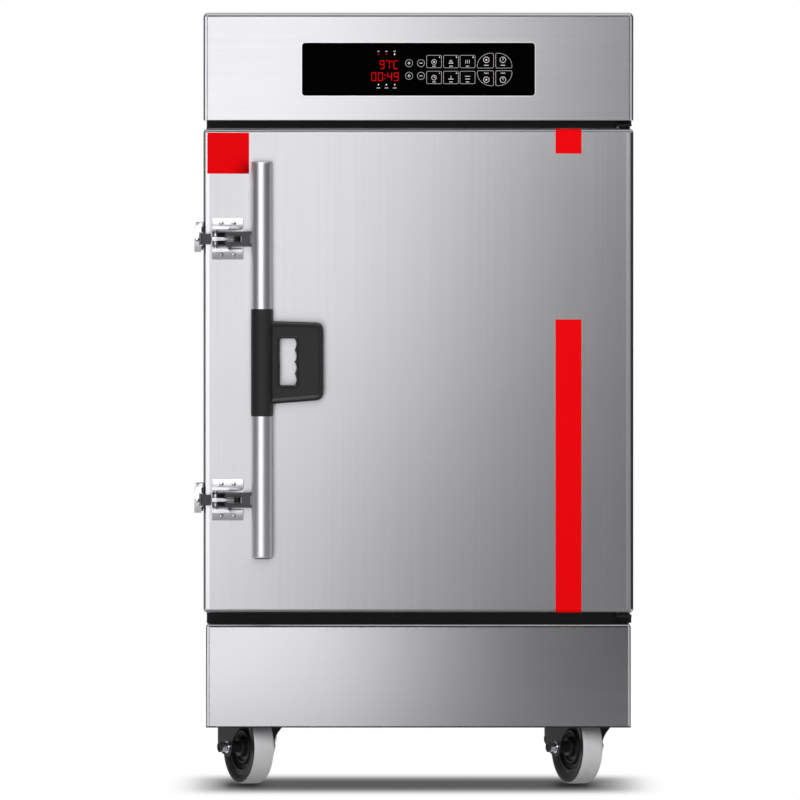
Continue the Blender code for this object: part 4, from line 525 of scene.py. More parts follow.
GRIP_PLASTIC = Finish(
    "grained_grip", (0.030, 0.030, 0.032), 0.0, 0.40, Grain.FINE, Pattern.CELL, shade=0.35, relief=0.00006
)
BLACK_PLASTIC = Finish("black_moulding", (0.016, 0.016, 0.018), 0.0, 0.50, Grain.COARSE, shade=0.3)
WHEEL_CORE = Finish("wheel_core", (0.034, 0.034, 0.037), 0.0, 0.36, Grain.COARSE, shade=0.3, smudge=0.3, wear=1.0)
TREAD = Finish("grey_tread", (0.60, 0.60, 0.61), 0.0, 0.55, Grain.COARSE, shade=0.10, smudge=0.16, smudge_scale=25)
TOUCH_GLASS = Finish(
    "touch_gloss", (0.002, 0.002, 0.0025), 0.0, 0.14, Grain.COARSE, shade=0.2, gloss_shift=0.05, shine=0.06
)
INK = Finish("pale_ink", (0.40, 0.40, 0.41), 0.0, 0.6, shine=0.1)
SIGN_INK = Finish("sign_ink", (0.62, 0.62, 0.64), 0.0, 0.6, shine=0.1)
LAMP_WHITE = Finish("white_lamp", (0.80, 0.82, 0.86), 0.0, 0.4, glow=0.3)
LAMP_RED = Finish("red_lamp", (0.62, 0.002, 0.004), 0.0, 0.4, glow=0.25, shine=0.0)
RED_FILM = Finish("red_film", (0.78, 0.003, 0.005), 0.0, 0.60, Grain.UPRIGHT, shade=0.05, relief=0.000004, shine=0.0)
SEAL = Finish("door_seal", (0.022, 0.022, 0.023), 0.0, 0.62, Grain.COARSE, shade=0.3, smudge=0.3)
FOAM = Finish("wall_foam", (0.72, 0.62, 0.36), 0.0, 0.92, Grain.COARSE, Pattern.CELL, shade=0.25, relief=0.0006)
HEAT_TINT = Finish(
    "heat_tinted_tube", (0.42, 0.33, 0.25), 1.0, 0.34, Grain.COARSE, shade=0.15, smudge=0.6, smudge_scale=14
)
BRASS = Finish("valve_brass", (0.72, 0.52, 0.22), 1.0, 0.28, Grain.COARSE, shade=0.08, smudge=0.18)
BOARD = Finish("circuit_board", (0.02, 0.14, 0.05), 0.0, 0.40, Grain.SPANGLE, Pattern.CELL, shade=0.6, coat=0.3)
FLOAT = Finish("float_moulding", (0.70, 0.22, 0.05), 0.0, 0.42, Grain.COARSE, shade=0.1)
LEVER_SLEEVE = Finish("lever_sleeve", (0.55, 0.03, 0.03), 0.0, 0.45, Grain.COARSE, shade=0.15)


# ---- pieces ----


def linked(name: str, data: bpy.types.ID) -> bpy.types.Object:
    """A new object in the scene."""
    made = bpy.data.objects.new(name, data)
    bpy.context.scene.collection.objects.link(made)
    return made


def tied(
    mesh: bpy.types.Mesh, finish: Finish, body: str, slot: str, replaces: Sequence[str], crease: float
) -> bpy.types.Object:
    """Make a mesh an object of its own name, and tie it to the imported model.

    Args:
        mesh: The mesh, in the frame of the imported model.
        finish: Its finish.
        body: The body that it moves with.
        slot: The record's material slot, which is not used.
        replaces: CAD nodes that it stands for.
        crease: Angle in degrees past which an edge stays sharp.

    Returns:
        The object, at the origin, unturned.
    """
    mesh.shade_smooth()
    mesh.set_sharp_from_angle(angle=math.radians(crease))
    mesh.materials.append(finish.material())
    made = linked(mesh.name, mesh)
    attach(made, body)
    if replaces:
        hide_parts(*replaces)
    LOG.info("%s: %d points, %d faces on %s", mesh.name, len(mesh.vertices), len(mesh.polygons), body)
    return made


def piece(
    name: str,
    shapes: Sequence[Shape],
    finish: Finish,
    body: str,
    slot: str,
    replaces: Sequence[str] = (),
    crease: float = CREASE,
) -> None:
    """Make one object of closed shapes, shaded so that flat sheet looks flat up to its bends.

    Args:
        name: The object's name.
        shapes: Its closed surfaces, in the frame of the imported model.
        finish: Its finish.
        body: The body that it moves with.
        slot: The record's material slot, which is not used.
        replaces: CAD nodes that it stands for.
        crease: Angle in degrees past which an edge stays sharp.
    """
    starts = np.cumsum([0, *(len(s.points) for s in shapes)])
    faces = [[n + start for n in row] for s, start in zip(shapes, starts) for row in s.faces()]
    mesh = bpy.data.meshes.new(name)
    mesh.from_pydata(np.concatenate([s.points for s in shapes]).tolist(), [], faces)
    weigh = tied(mesh, finish, body, slot, replaces, crease).modifiers.new("flat_shading", "WEIGHTED_NORMAL")
    weigh.keep_sharp = True
    weigh.weight = 50


def softened(node: str, finish: Finish, body: str, slot: str, width: float) -> None:
    """Replace a CAD node by its own form, with its points merged and its edges bevelled.

    Args:
        node: The CAD node, which stays as it is.
        finish: The new object's finish.
        body: The body that it moves with.
        slot: The record's material slot, which is not used.
        width: Width of the bevel.
    """
    source = bpy.data.objects[node].data
    points = np.empty(len(source.vertices) * 3)
    source.vertices.foreach_get("co", points)
    points = points.reshape(-1, 3)
    _, first, index = np.unique(np.round(points, 6), axis=0, return_index=True, return_inverse=True)
    source.calc_loop_triangles()
    corners = np.empty(len(source.loop_triangles) * 3, np.int32)
    source.loop_triangles.foreach_get("vertices", corners)
    triangles = index.reshape(-1)[corners].reshape(-1, 3)
    whole = (triangles != np.roll(triangles, 1, axis=1)).all(axis=1)
    mesh = bpy.data.meshes.new(f"{node}_dressed")
    mesh.from_pydata(points[first].tolist(), [], triangles[whole].tolist())
    work = bmesh.new()
    work.from_mesh(mesh)
    bmesh.ops.dissolve_limit(work, angle_limit=math.radians(0.5), verts=work.verts, edges=work.edges)
    work.to_mesh(mesh)
    work.free()
    bevel = tied(mesh, finish, body, slot, (node,), CREASE).modifiers.new("soft_edges", "BEVEL")
    bevel.width = width
    bevel.segments = 2
    bevel.limit_method = "ANGLE"
    bevel.angle_limit = math.radians(32)


def dress(finish: Finish, *nodes: str) -> None:
    """Give CAD nodes that stay a finish in all their slots."""
    for node in nodes:
        mesh = bpy.data.objects[node].data
        if not mesh.materials:
            mesh.materials.append(finish.material())
        for k in range(len(mesh.materials)):
            mesh.materials[k] = finish.material()


# ---- sheet metal ----


@dataclass
class Casing:
    """Hood, base skirt, sides and back: bent sheets with soft bends."""

    bend: float = 0.0075
    sheet: float = 0.0012
    hem: float = 0.010
    base_bend: float = 0.006
    base_sheet: float = 0.0015
    base_rim: float = 0.0022
    louvre_width: float = 0.110
    louvre_height: float = 0.006
    louvre_pitch: float = 0.016
    louvre_rise: float = 0.0045
    louvre_lap: float = 0.002
    louvres: int = 6
    hood_louvre_rise: float = 0.044
    back_louvre_z: float = 0.6675
    rim_inset: Span = (0.0002, 0.0018)
    rim_lap: float = 0.0004
    rivets: int = 7
    rivet_margin: Span = (0.008, 0.03)
    rivet_head: Span = (0.0032, 0.0012)

    def build(self) -> None:
        """Build the hood, the base skirt and the small fasteners, and dress the flat sheets."""
        self._hood()
        self._base()
        dress(UPRIGHT_STEEL, "side_panel_left", "side_panel_right", "back_panel")
        dress(ZINC, "top_deck", "chassis_plate")
        # The necks in the gaps over and under the door are black as painted shade of those gaps; the hinge brackets
        # there are black too.
        dress(BLACK_PLASTIC, "upper_neck", "lower_neck", "hinge_bracket_top", "hinge_bracket_bottom")
        self._rivets()

    def _hood(self) -> None:
        """The hood: a pan with its face up, and a stack of pressed louvres on its back."""
        low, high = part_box("top_cap")
        outline = round_rect((low.x, high.x), (low.y, high.y), self.bend)
        shell = pan(outline, Axis.Z, high.z, low.z, self.bend, self.sheet, self.hem)
        piece("hood_shell", [shell], ACROSS_STEEL, "cabinet", "stainless_sheet", ("top_cap",))
        x = middle_of("top_cap")[0]
        self._louvre_stack("hood", x, high.y, low.z + self.hood_louvre_rise)
        self._louvre_stack("back", x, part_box("back_panel")[1].y, self.back_louvre_z)

    def _louvre_stack(self, name: str, x: float, face: float, z_low: float) -> None:
        """Pressed louvres over the CAD's vent slots, each with a near-black slab in its slit as painted shade.

        A louvre's skin is (u, v) -> rise * sqrt(1 - |2u - 1|^6) * (1 - v^2): u runs along it and
        v from the open lower edge to the sheet.

        Args:
            name: Prefix of the pieces.
            x: Middle of the stack.
            face: The sheet's outer face.
            z_low: Lower edge of the lowest slit.
        """
        half = self.louvre_width / 2
        along, across = np.meshgrid(np.linspace(0, 1, 25), np.linspace(0, 1, 8), indexing="ij")
        height = self.louvre_rise * np.sqrt(np.clip(1 - np.abs(2 * along - 1) ** 6, 0, 1)) * (1 - across**2)
        hoods, slit_shades = [], []
        for z in z_low + np.arange(self.louvres) * self.louvre_pitch:
            up = z + self.louvre_lap + across * (self.louvre_height + self.louvre_lap)
            outer = np.stack([x + half * (2 * along - 1), face + height + SEAT, up], axis=-1)
            inner = outer.copy()
            inner[..., 1] = face - SEAT
            hoods.append(loft(np.concatenate([outer, inner[:, ::-1]], axis=1)))
            inside = (z + 2 * SEAT, z + self.louvre_height)
            slit_shades.append(slab(about(x, half), (face - SEAT, face + FILM), inside, FILM / 3))
        piece(f"{name}_louvres", hoods, UPRIGHT_STEEL, "cabinet", "stainless_sheet", crease=50)
        piece(f"{name}_louvre_slits", slit_shades, SLOT_SHADOW, "cabinet", "black_plastic")

    def _base(self) -> None:
        """The base skirt: a pan with its face up, and a black strip round its lower edge as painted shade under it.
        """
        low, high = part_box("base_skirt")
        outline = round_rect((low.x, high.x), (low.y, high.y), self.base_bend)
        shell = pan(outline, Axis.Z, high.z, low.z + self.base_rim, self.base_bend, self.base_sheet)
        piece("base_shell", [shell], BASE_STEEL, "cabinet", "stainless_sheet", ("base_skirt",))
        # A black strip round the skirt's lower edge: painted shade under it.
        top = low.z + self.base_rim + self.rim_lap
        near, far = self.rim_inset
        rim = drawn(outline, [(near, low.z), (far, low.z), (far, top), (near, top)], Axis.Z, closed=True)
        piece("base_rim", [rim], BLACK_PLASTIC, "cabinet", "black_plastic")

    def _rivets(self) -> None:
        """Blind rivets that hold the back panel and the hood's back edge."""
        low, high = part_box("back_panel")
        aside, above = self.rivet_margin
        heights = np.linspace(low.z + above, high.z - above, self.rivets)
        sides = (low.x + aside, high.x - aside)
        heads = [dome(x, z, high.y, *self.rivet_head, 1) for x in sides for z in heights]
        piece("back_rivets", heads, SCREW_STEEL, "cabinet", "stainless_sheet")


# ---- door ----


@dataclass
class Door:
    """The door's skin, seal, red stripe and red label, with painted highlight bands and painted dark reflection
    lines down its sides.

    What wraps the door's bend is given in degrees from the front.
    """

    bend: float = 0.006
    sheet: float = 0.0012
    stripe_x: Span = (0.2307, 0.2730)
    stripe_breaks: Span = (0.7587, 1.0287)
    label_x: Span = (-0.3362, -0.2681)
    label_z: Span = (0.9960, 1.0628)
    painted_highlights: tuple[Span, Span] = ((-0.3385, -0.3325), (0.3455, 0.3512))
    painted_film: float = FILM * 0.4
    seal_width: float = 0.014
    seal_corner: float = 0.020
    seal_foot: float = 0.003
    label_corner: float = 0.0012
    label_edge: float = 0.00008
    painted_highlight_corner: float = 0.0008
    painted_highlight_edge: float = 0.00004
    stripe_wrap: float = 80.0
    dark_line_wrap: Span = (18.0, 60.0)

    def build(self) -> None:
        """Build the door's pieces and dress the two that stay."""
        low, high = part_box("door_outer_panel")
        outline = round_rect((low.x, high.x), (low.z, high.z), self.bend)
        skin = pan(outline, Axis.Y, low.y, high.y, self.bend, self.sheet)
        piece("door_skin", [skin], UPRIGHT_STEEL, "door", "stainless_sheet", ("door_outer_panel",))
        dress(MILL_STEEL, "door_inner_panel")
        dress(FOAM, "door_foam")
        self._stripe(low, high)
        self._painted_highlights(low, high)
        square = round_rect(self.label_x, self.label_z, self.label_corner)
        label = plate(square, Axis.Y, (low.y - FILM, low.y + HAIR), self.label_edge)
        piece("door_label", [label], RED_FILM, "door", "stainless_sheet")
        self._seal()

    def _bent(self, face: float, edge: float, way: float, turn: Array) -> tuple[Array, Array]:
        """Points on the door's bend, as pairs across and along the front, and the way that they face.

        The points are face + b (1 - cos a) and edge - b (1 - sin a) for each angle a.

        Args:
            face: Level of the front.
            edge: Where the door ends.
            way: 1 at the upper or right edge, -1 at the lower or left one.
            turn: The angles, from the front, in radians.

        Returns:
            The points and their outward directions.
        """
        outward = np.stack([-np.cos(turn), way * np.sin(turn)], axis=1)
        return np.array([face + self.bend, edge - way * self.bend]) + outward * self.bend, outward

    def _stripe(self, low: Vector, high: Vector) -> None:
        """The stripe's two lengths, each laid on the flat front and round the door's bend at its end."""
        strips = []
        for start, edge, way in zip(self.stripe_breaks, (low.z, high.z), (-1.0, 1.0)):
            bent, outward = self._bent(low.y, edge, way, np.radians(np.linspace(0, self.stripe_wrap, 9)))
            path = np.concatenate([[[low.y, start]], bent])
            outward = np.concatenate([[[-1.0, 0.0]], outward])
            section = np.concatenate([path + outward * FILM, (path - outward * FILM / 2)[::-1]])
            strips.append(loft(np.stack([placed(section, x, Axis.X) for x in self.stripe_x])))
        piece("door_stripe", strips, RED_FILM, "door", "stainless_sheet")

    def _painted_highlights(self, low: Vector, high: Vector) -> None:
        """A painted highlight band down each side of the front, and a painted dark reflection line on each side's
        bend.
        """
        span = (low.z + self.bend, high.z - self.bend)
        levels = (low.y - self.painted_film, low.y + HAIR)
        bands = [plate(round_rect(hem, span, self.painted_highlight_corner), Axis.Y, levels, self.painted_highlight_edge) for hem in self.painted_highlights]
        piece("door_hem", bands, PAINTED_HIGHLIGHT_STEEL, "door", "stainless_sheet")
        for side, edge, way, finish, slot in (
            ("left", low.x, -1.0, PAINTED_DARK_REFLECTION_STEEL, "stainless_sheet"),
            ("right", high.x, 1.0, BLACK_PLASTIC, "black_plastic"),
        ):
            path, outward = self._bent(low.y, edge, way, np.radians(np.linspace(*self.dark_line_wrap, 6)))
            section = np.concatenate([path + outward * self.painted_film, (path - outward * FILM / 2)[::-1]])
            line = loft(np.stack([placed(section[:, ::-1], z, Axis.Z) for z in span]))
            piece(f"door_line_{side}", [line], finish, "door", slot)

    def _seal(self) -> None:
        """The seal: a half-round bulb carried round the door, with a foot that is pressed in."""
        low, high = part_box("door_gasket")
        outline = round_rect((low.x, high.x), (low.z, high.z), self.seal_corner)
        half, deep = self.seal_width / 2, high.y - low.y
        turn = np.linspace(0, math.pi, 11)
        bulb = np.stack([half - (half - 0.001) * np.cos(turn), low.y + deep * (0.45 + 0.55 * np.sin(turn))], axis=1)
        section = [*bulb, (self.seal_width - self.seal_foot, low.y), (self.seal_foot, low.y)]
        shape = drawn(outline, section, Axis.Y, closed=True)
        piece("door_seal", [shape], SEAL, "door", "seal_rubber", ("door_gasket",))


# ---- handle ----


@dataclass
class Handle:
    """The polished tube with its end plug, and the grip with its finger loop."""

    wall: float = 0.0055
    end_round: float = 0.003
    plug_gap: float = 0.004
    plug_length: float = 0.018
    grip_points: int = 480
    sleeve: Span = (0.0171, 0.0180)
    sleeve_taper: Span = (0.0006, 0.004)
    loop_start: float = 0.0070
    loop_drops: tuple[float, float, float] = (0.0194, 0.0266, 0.0225)
    loop_half: float = 0.008
    loop_corner: float = 0.013
    scallops: int = 4
    scallop_depth: float = 0.0042
    window_x: Span = (-0.2178, -0.1908)
    window_z: Span = (0.6525, 0.7285)
    window_corner: float = 0.0012
    window_rim: float = 0.0036
    frame_corner: float = 0.004

    def build(self) -> None:
        """Build the tube, the plug and the grip."""
        low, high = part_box("handle_rod")
        self.x, self.y, _ = middle_of("handle_rod")
        axis = (self.x, self.y, 0)
        radius = (high.x - low.x) / 2
        bore, foot = radius - self.wall, low.z + 0.001
        corners = [(bore, foot), (radius, foot), (radius, high.z), (HAIR, high.z)]
        ends = eased(corners, self.end_round, 5, ring=False)
        shape = lathe([(bore, low.z + 0.02), *ends], axis, Axis.Z, 96, closed=False)
        piece("handle_tube", [shape], BRIGHT_TUBE, "handle", "bright_rod", ("handle_rod",))
        reach, top = radius - self.plug_gap, low.z + self.plug_length
        line = [(HAIR, low.z), (reach, low.z), (reach, top), (HAIR, top)]
        plug = lathe(eased(line, 0.0015, 3, ring=False), axis, Axis.Z, closed=False)
        piece("handle_plug", [plug], BLACK_PLASTIC, "handle", "black_plastic")
        self._grip()

    def _around(self, outline: Array, middle: Array) -> Array:
        """Sample a star-shaped outline at even angles about a middle point."""
        share = np.linspace(0, 1, 16, endpoint=False)[None, :, None]
        fine = outline[:, None] * (1 - share) + np.roll(outline, -1, 0)[:, None] * share
        spoke = fine.reshape(-1, 2) - middle
        angle = np.arctan2(spoke[:, 1], spoke[:, 0])
        order = np.argsort(angle)
        target = np.linspace(-math.pi, math.pi, self.grip_points, endpoint=False)
        reach = np.interp(target, angle[order], np.linalg.norm(spoke, axis=1)[order], period=math.tau)
        return middle + reach[:, None] * polar(target)

    def _window(self) -> Array:
        """The finger window: a slot with small corners whose far side swells out under each finger.

        The far side is x = right - d (1 - |sin(n pi s)|^(1/2)), for s from 0 to 1 up the side, so that
        its ridges are sharp towards the hand and its hollows are round.
        """
        (left, right), (low, high) = self.window_x, self.window_z
        s = np.linspace(0, 1, 121)
        hollow = right + self.scallop_depth * (np.sqrt(np.abs(np.sin(self.scallops * math.pi * s))) - 1)
        far = np.stack([hollow, low + (high - low) * s], axis=1)
        near = eased([far[-1], (left, high), (left, low), far[0]], self.window_corner, 4, ring=False)
        return np.concatenate([far[:-1], near])

    def _grip(self) -> None:
        """The sleeve, and the loop plate whose outer rim and window rim stand proud on both faces."""
        low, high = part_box("handle_grip")
        inner, right, h, wide = self.x + self.loop_start, high.x, self.loop_half, self.window_rim
        beside, below, above = self.loop_drops
        middle = np.array([(self.window_x[0] + self.window_x[1]) / 2, (low.z + high.z) / 2 + 0.001])
        corners = [
            (inner, low.z + beside), (right, low.z + below), (right, high.z - above), (inner, high.z - beside)
        ]
        sides = [(a - wide, b + wide) for a, b in (self.window_x, self.window_z)]
        outlines = (eased(corners, self.loop_corner, 10), round_rect(*sides, self.frame_corner)(0), self._window())
        rim, frame, hole = (polygon(self._around(outline, middle)) for outline in outlines)
        front = [
            (rim, 0.0, h - 0.0044), (rim, 0.0007, h - 0.0022), (rim, 0.0020, h - 0.0006), (rim, 0.0036, h),
            (rim, 0.0056, h - 0.0004), (rim, 0.0078, h - 0.0016), (rim, 0.0098, h - 0.0022),
            (frame, 0.0, h - 0.0022), (frame, 0.0006, h - 0.0006), (frame, 0.0014, h), (frame, 0.0024, h - 0.0002),
            (hole, 0.0, h - 0.0016),
        ]
        rows = [*front, *((outline, inset, -depth) for outline, inset, depth in reversed(front))]
        loops = np.stack([placed(outline(inset), self.y - depth, Axis.Y) for outline, inset, depth in rows])
        bore, radius = self.sleeve
        step, taper = self.sleeve_taper
        small = radius - step
        line = [
            (bore, low.z), (small, low.z), (radius, low.z + taper),
            (radius, high.z - taper), (small, high.z), (bore, high.z),
        ]
        shapes = [lathe(eased(line, 0.0008, 4), (self.x, self.y, 0), Axis.Z, 96), loft(loops, closed=True)]
        piece("grip_moulding", shapes, GRIP_PLASTIC, "handle", "grip_plastic", ("handle_grip",), 30)


# ---- latches ----


@dataclass
class Latch:
    """One toggle latch: base with wings and ears, lever, claw, and the keeper on the side."""

    where: str
    pivot_x: float = -0.3228
    pivot_y: float = -0.28635
    claw_pivot_x: float = -0.2898
    stand: float = 0.026
    cheek: Span = (0.0103, 0.0123)
    wing_height: float = 0.0165
    wings: tuple[tuple[float, Span, float], ...] = ((-1.0, (-0.42, 0.06), -0.0006), (1.0, (-0.24, 0.22), -0.0022))
    ear: Span = (0.0150, 0.0168)
    flange: Span = (0.0154, 0.0216)
    slot_half: float = 0.0044
    slot_end: float = 0.0415
    screw: Span = (0.010, 0.0257)
    screw_seat: float = 0.0047
    head: Span = (0.0037, 0.0022)
    drive: Span = (0.0068, 0.0026)
    depth: float = 0.0215
    cradle_reach: float = 0.0173
    strap_half: float = 0.0086
    bow: float = 0.0026
    keeper_notch: float = 0.0112

    def build(self) -> None:
        """Build the latch's pieces."""
        self.low, self.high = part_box(f"latch_base_{self.where}")
        self.level = middle_of(f"latch_base_{self.where}")[2]
        self.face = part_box("door_outer_panel")[0].y
        self.rod = np.array(middle_of("handle_rod")[:2])
        self._base()
        self._screws()
        self._pin()
        self._lever()
        self._claw()
        self._keeper()

    def _make(self, stem: str, shapes: Sequence[Shape], finish: Finish, body: str, slot: str, *nodes: str) -> None:
        """Make one of the latch's objects."""
        piece(f"{stem}_{self.where}", shapes, finish, body, slot, nodes)

    def _tall(self, half: float) -> Span:
        """The span about the latch's level."""
        return about(self.level, half)

    def _base(self) -> None:
        """The base plate, its two bowed wings, and its ears with their slanted flanges.

        A wing's front is y = y0 + a z + (b - a) z^2 / 2h, which turns it evenly from the slope a at
        its lower edge to the slope b at its upper one, h higher.
        """
        left, right = self.low.x, self.high.x
        rise, height = (self.high.z - self.low.z) / 2, self.wing_height
        back, front = self.face - 0.002, self.face - self.depth
        outline = round_rect((left, right), (self.low.z, self.high.z), 0.003)
        shapes = [plate(outline, Axis.Y, (back, self.face - SEAT))]
        v = np.linspace(0, height, 15)
        for way, (a, b), y0 in self.wings:
            z0 = self.level + way * rise - (height if way > 0 else 0.0)
            line = np.stack([back + y0 + v * a + v**2 * (b - a) / (2 * height), z0 + v], axis=1)
            section = polygon(np.concatenate([line, [[back + SEAT, z0 + height], [back + SEAT, z0]]]))
            ends = [(left, 0.0006), (left + 0.0006, 0.0), (right - 0.0006, 0.0), (right, 0.0006)]
            shapes.append(loft(np.stack([placed(section(inset), x, Axis.X) for x, inset in ends])))
            near, top, foot = left + 0.0002, front + 0.001, back + SEAT
            ear = polygon([(near, foot), (near, top), (left + 0.028, top), (right - 0.001, foot)], 0.0015)
            shapes.append(plate(ear, Axis.Z, [self.level + way * k for k in self.ear]))
            inner, outer = (self.level + way * k for k in self.flange)
            flange = [(left, inner), (left + 0.0260, inner), (left + 0.0325, outer), (left, outer)]
            shapes.append(plate(polygon(flange, 0.0008), Axis.Y, (front, front + 0.0018), 0.0006))
        self._make("latch_base_plate", shapes, BRIGHT_STEEL, "door", "bright_fitting", f"latch_base_{self.where}")
        # Black blocks between the ears and behind the lever's slot: painted shadow inside its channel.
        deep = (self.face - 0.0064, back + SEAT)
        slot = (self.pivot_x + 0.0365, self.pivot_x + self.slot_end + 0.002)
        shadow_blocks = [slab((left + 0.0006, left + 0.0240), deep, self._tall(0.0099)), slab(slot, deep, self._tall(0.0075))]
        self._make("latch_pad", shadow_blocks, BLACK_PLASTIC, "door", "black_plastic")

    def _screws(self) -> None:
        """Four domed screws with a small cross drive on the wings."""
        middle = (self.low.x + self.high.x) / 2
        across, up = self.screw
        places = [(x, z) for x in about(middle, across) for z in self._tall(up)]
        heads = [dome(x, z, self.face - self.screw_seat, *self.head) for x, z in places]
        self._make("latch_screws", heads, SCREW_STEEL, "door", "bright_fitting")
        # Near-black bars over the screw heads: painted shade in the cross drives.
        proud, length = self.drive
        drive_shades = [bar for x, z in places for bar in cross_slot(x, z, self.face - proud, length)]
        self._make("latch_drives", drive_shades, SLOT_SHADOW, "door", "black_plastic")

    def _pin(self) -> None:
        """The pivot pin with an acorn nut above the claw, and a nut and a washer under it."""
        lines = [
            [(0.003, -0.0160), (0.003, 0.0160)],
            [(0.0030, 0.0046), (0.0037, 0.0052), (0.0037, 0.0074), (0.0030, 0.0084), (0.0021, 0.0112),
             (0.0008, 0.0142)],
            [(0.0032, -0.0056), (0.0038, -0.0062), (0.0038, -0.0078), (0.0032, -0.0084)],
            [(0.0030, -0.0088), (0.0037, -0.0096), (0.0037, -0.0114), (0.0026, -0.0126)],
            [(0.0046, 0.0170), (0.0046, 0.0180), (0.0034, 0.0192)],
            [(0.0046, -0.0170), (0.0046, -0.0180), (0.0034, -0.0192)],
        ]
        shapes = [turned(line, (self.pivot_x, self.pivot_y, self.level), Axis.Z, 28) for line in lines]
        self._make("latch_pin", shapes, BRIGHT_STEEL, "door", "bright_fitting")

    def _lever(self) -> None:
        """The lever: a pressed channel of two cheeks and a slotted front, sloped out to the rod.

        The cheeks end in arcs about the pivot pin and about the rod.
        """
        x, y = self.pivot_x, self.pivot_y
        front, knee, fold = self.face - self.stand, x + 0.018, x + 0.0435
        arc = np.array([x, y]) + 0.006 * polar(np.radians(np.linspace(90, 270, 13)))
        cradle = self.rod + self.cradle_reach * polar(np.radians(np.linspace(160, 115, 7)))
        side = polygon(
            np.concatenate([arc, [[knee, front], [fold, front]], cradle, [[x + 0.040, self.face - 0.0075]]])
        )
        shapes = [plate(side, Axis.Z, [self.level + way * k for k in self.cheek], 0.0005) for way in (-1.0, 1.0)]
        half, slot, end = self.cheek[1] - 0.0004, self.slot_half, x + self.slot_end
        web = [
            (knee, half), (fold, half), (fold, -half), (knee, -half),
            (knee - 0.004, -slot), (end, -slot), (end, slot), (knee - 0.004, slot),
        ]
        shapes.append(plate(self._raised(web), Axis.Y, (front - 0.0006, front + 0.0019), 0.0005))
        arm = self._along(np.array([fold - 0.0006, front - 0.0005]), cradle[0], 0.0, 0.0025)
        shapes.append(plate(polygon(arm), Axis.Z, self._tall(half), 0.0005))
        nub = (x + 0.0235, front + 0.0008, self.level)
        shapes.append(turned([(0.0027, -0.0121), (0.0027, -0.0158), (0.0020, -0.0166)], nub, Axis.Z, 24))
        shapes.append(rod(0.002, about(0.0, 0.0116), (self.claw_pivot_x, y, self.level), Axis.Z, 20))
        self._make("latch_lever_channel", shapes, DARK_PAINT, "handle", "dark_fitting", f"latch_lever_{self.where}")
        # Bright steel on the dark lever: painted highlights on the tab by the rod, the slot's end and down the nub.
        whole = cradle[0] - np.array([fold, front])
        tab = self._along(cradle[0] - 0.16 * whole, cradle[0] - 0.01 * whole, -0.0006, 0.0010)
        rim = [(end, -slot), (end + 0.0007, -slot), (end + 0.0007, slot), (end, slot)]
        bright = [
            plate(polygon(tab), Axis.Z, self._tall(0.0072), 0.0003),
            plate(self._raised(rim), Axis.Y, (front - 0.0008, front + 0.001), 0.0002),
            turned([(0.0013, -0.0160), (0.0010, -0.0172)], nub, Axis.Z, 16),
        ]
        self._make("latch_lever_wear", bright, BRIGHT_STEEL, "handle", "bright_fitting")

    def _raised(self, points: Line) -> Outline:
        """An outline whose heights are given from the latch's level."""
        return polygon([(a, self.level + b) for a, b in points])

    @staticmethod
    def _along(start: Array, end: Array, low: float, high: float) -> Array:
        """The section of a strip along a line, from one height behind the line to another."""
        ahead = unit(end - start)
        behind = np.array([-ahead[1], ahead[0]])
        return np.stack([start + behind * low, end + behind * low, end + behind * high, start + behind * high])

    def _claw(self) -> None:
        """The claw: a painted strap round the door's edge, and a bright bar back to the lever's pin.

        The bar is a loft of round-cornered oblongs that grow lower and sink towards the pin.
        """
        body = f"{self.where}_claw"
        low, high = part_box(f"claw_{self.where}")
        outer, tip, x, y = low.x + 0.0030, high.y, self.pivot_x, self.pivot_y
        back = y - 0.0042
        front, start = back - 0.0025, x - 0.0072
        strap = [
            (start, back), (outer + 0.0025, back), (outer + 0.0025, tip), (outer - 0.0015, tip),
            (outer, tip - 0.0025), (outer, front), (start, front),
        ]
        band = plate(polygon(strap, 0.0010), Axis.Z, self._tall(self.strap_half), 0.0006)
        self._make("claw_strap", [band], DARK_PAINT, body, "dark_fitting", f"claw_{self.where}")
        stations = [
            (start + 0.0006, 0.0034, front - 0.0006, back),
            (start + 0.0020, 0.0037, front - 0.0020, back),
            (x + 0.0020, 0.0037, front - 0.0022, back),
            (x + 0.0042, 0.0033, front - 0.0012, back),
            (x + 0.0130, 0.0031, front - 0.0008, back),
            (x + 0.0195, 0.0029, front + 0.0002, back + 0.0008),
            (x + 0.0255, 0.0028, front + 0.0018, back + 0.0030),
            (self.claw_pivot_x - 0.0010, 0.0028, y - 0.0022, y + 0.0030),
        ]
        loops = [
            placed(round_rect((near, far), self._tall(half), 0.0009, 3)(0), x, Axis.X)
            for x, half, near, far in stations
        ]
        self._make("claw_bar", [loft(np.stack(loops))], BRIGHT_STEEL, body, "bright_fitting")
        # The claw's eye is near black: painted shade inside the lever's channel.
        eye = plate(circle(self.claw_pivot_x, y, 0.0042), Axis.Z, self._tall(0.0034))
        self._make("claw_eye", [eye], FORK_PAINT, body, "dark_fitting")

